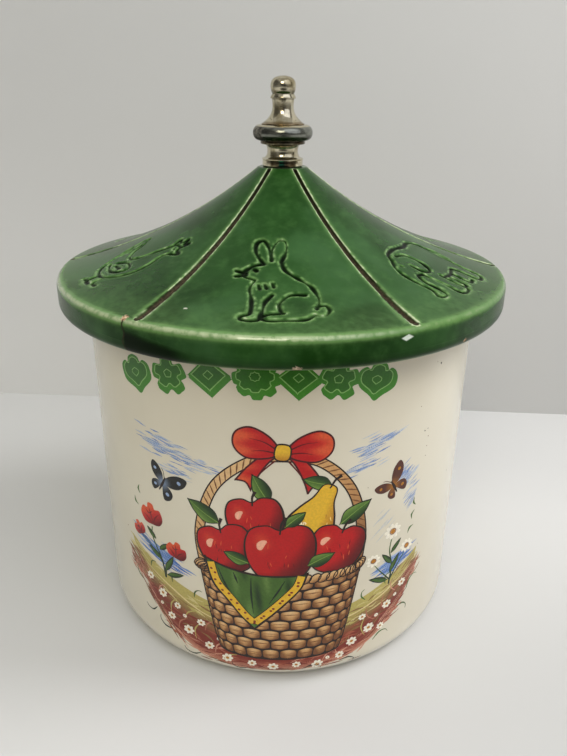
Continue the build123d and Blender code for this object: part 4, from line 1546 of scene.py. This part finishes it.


# a surface with painted shade and light, clear from behind so that it never hides the jar; it may carry a
# painted shadow
def paintedShadeSheet(name, colors, axis, run, paintedShadow=None):
    s = Shader(name)
    axes = s.add("SeparateXYZ", {0: s.coords()}).outputs
    along = s.spread(axes[axis], *run)
    left, right = (s.mix(along, rgb(low, low, low - 2), rgb(top, top, top - 2)) for low, top in colors)
    color = s.mix(s.spread(axes["X"], *stage["sideRun"]), left, right)
    color = s.mix(s.noise(6, 3), color, s.mix(1.0, color, (0.97, 0.97, 0.97, 1), "MULTIPLY"))
    # a soft dark patch on the floor: a painted shadow
    if paintedShadow:
        place = s.add("Mapping", {"Vector": s.coords(), "Location": paintedShadow["middle"], "Scale": paintedShadow["reach"]},
                      vector_type="TEXTURE")
        away = s.add("VectorMath", {0: place.outputs[0]}, operation="LENGTH").outputs["Value"]
        color = s.mix(s.spread(away, 1.1, 0.7), color, paintedShadow["color"])
    s.set(color=color, roughness=0.8)
    back = s.add("NewGeometry").outputs["Backfacing"]
    sheet = s.add("MixShader", {0: back, 1: s.surface.outputs[0], 2: s.add("BsdfTransparent").outputs[0]})
    s.put(s.tree.nodes["Material Output"].inputs["Surface"], sheet.outputs[0])
    return s.material


def addStagePlane(name, width, depth, turn, place, material):
    bm = bmesh.new()
    bmesh.ops.create_grid(bm, x_segments=1, y_segments=1, size=0.5)
    bm.transform(Matrix.Translation(place) @ turn @ Matrix.Diagonal((width, depth, 1, 1)))
    mesh = bpy.data.meshes.new(name)
    bm.to_mesh(mesh)
    bm.free()
    mesh.materials.append(material)
    plane = bpy.data.objects.new(name, mesh)
    bpy.context.scene.collection.objects.link(plane)


# azimuth 0 is in front of the jar and grows to the right; a lamp that isn't mirrored only adds soft light
lamps = {
    "windowRight": {"azimuth": 45, "elevation": 42, "distance": 1.3, "size": (1.25, 1.25), "power": 4.8,
                    "color": (0.87, 0.89, 1.0), "mirrored": True},
    "lampFront": {"azimuth": -9, "elevation": 39, "distance": 1.4, "size": (0.5, 0.5), "power": 4.4,
                  "color": (1, 0.92, 0.76), "mirrored": True},
    "ceiling": {"azimuth": 0, "elevation": 88, "distance": 1.6, "size": (2.2, 2.2), "power": 3.4,
                "color": (0.98, 0.99, 1.0), "mirrored": True},
    "windowSide": {"azimuth": 95, "elevation": 42, "distance": 2.2, "size": (1.0, 1.1), "power": 36.0,
                   "color": (0.99, 0.99, 1.0), "mirrored": False},
    "roomLeft": {"azimuth": -66, "elevation": 45, "distance": 1.6, "size": (0.9, 0.9), "power": 3.0,
                 "color": (0.94, 1.0, 0.93), "mirrored": False},
    "frontHigh": {"azimuth": 4, "elevation": 60, "distance": 1.6, "size": (1.0, 1.0), "power": 6.8,
                  "color": (0.98, 0.98, 1.0), "mirrored": False}}
lampAim = Vector((0, 0, 0.14))


def addLamp(name, azimuth, elevation, distance, size, power, color, mirrored):
    a, e = math.radians(azimuth), math.radians(elevation)
    lamp = bpy.data.lights.new(name, "AREA")
    lamp.shape = "RECTANGLE"
    lamp.size, lamp.size_y = size
    lamp.energy = power
    lamp.color = color
    holder = bpy.data.objects.new(name, lamp)
    away = Vector((math.sin(a) * math.cos(e), -math.cos(a) * math.cos(e), math.sin(e)))
    holder.location = lampAim + away * distance
    holder.rotation_euler = away.to_track_quat("Z", "Y").to_euler()
    holder.visible_glossy = mirrored
    bpy.context.scene.collection.objects.link(holder)


# The room: an even grey, with places where little light comes from. Each is a direction, the cosines of the
# angles at which it starts and is deepest, and how much light it leaves.
room = {"color": rgb(232, 229, 222), "light": 0.26,
        "dark": [((0.08, -0.95, 0.30), (0.78, 0.93), 0.2), ((-0.86, -0.28, 0.42), (0.74, 0.97), 0.42)]}


def addRoom():
    world = bpy.data.worlds.new("room")
    bpy.context.scene.world = world
    s = NodeTree(world)
    light = room["light"]
    for direction, angles, left in room["dark"]:
        facing = s.add("VectorMath", {0: s.coords("Generated"), 1: direction}, operation="DOT_PRODUCT")
        light = s.math("MULTIPLY", light, s.spread(facing.outputs["Value"], *angles, 1.0, left))
    background = s.tree.nodes["Background"].inputs
    s.put(background["Strength"], light)
    s.put(background["Color"], room["color"])


camera = {"place": (0.0015, -0.3365, 0.2659), "tilt": 66.4, "roll": 0.6, "lens": 32.56, "sensor": 36}


def addCamera():
    lens = bpy.data.cameras.new("camera")
    lens.lens = camera["lens"]
    lens.sensor_width = camera["sensor"]
    viewer = bpy.data.objects.new("camera", lens)
    viewer.location = camera["place"]
    tilt = Matrix.Rotation(math.radians(camera["tilt"]), 3, "X")
    roll = Matrix.Rotation(math.radians(camera["roll"]), 3, "Z")
    viewer.rotation_euler = (tilt @ roll).to_euler()
    bpy.context.scene.collection.objects.link(viewer)
    bpy.context.scene.camera = viewer


addStagePlane("floor", stage["floorSize"], stage["floorSize"], Matrix.Identity(4), (0, 0, 0),
              paintedShadeSheet("floorWhite", stage["floorColors"], "Y", stage["floorRun"], stage["paintedFloorShadow"]))
upright = Matrix.Rotation(math.radians(90), 4, "X")
addStagePlane("backWall", stage["wallWidth"], stage["wallHeight"],
              Matrix.Rotation(math.radians(-stage["wallTurn"]), 4, "Z") @ upright,
              (0, stage["wallDistance"], stage["wallHeight"] / 2),
              paintedShadeSheet("wallGrey", stage["wallColors"], "Z", stage["wallRun"]))
for name, settings in lamps.items():
    addLamp(name, **settings)
addRoom()
addCamera()
bpy.context.scene.view_settings.view_transform = "Standard"
print("stage, light and camera set")
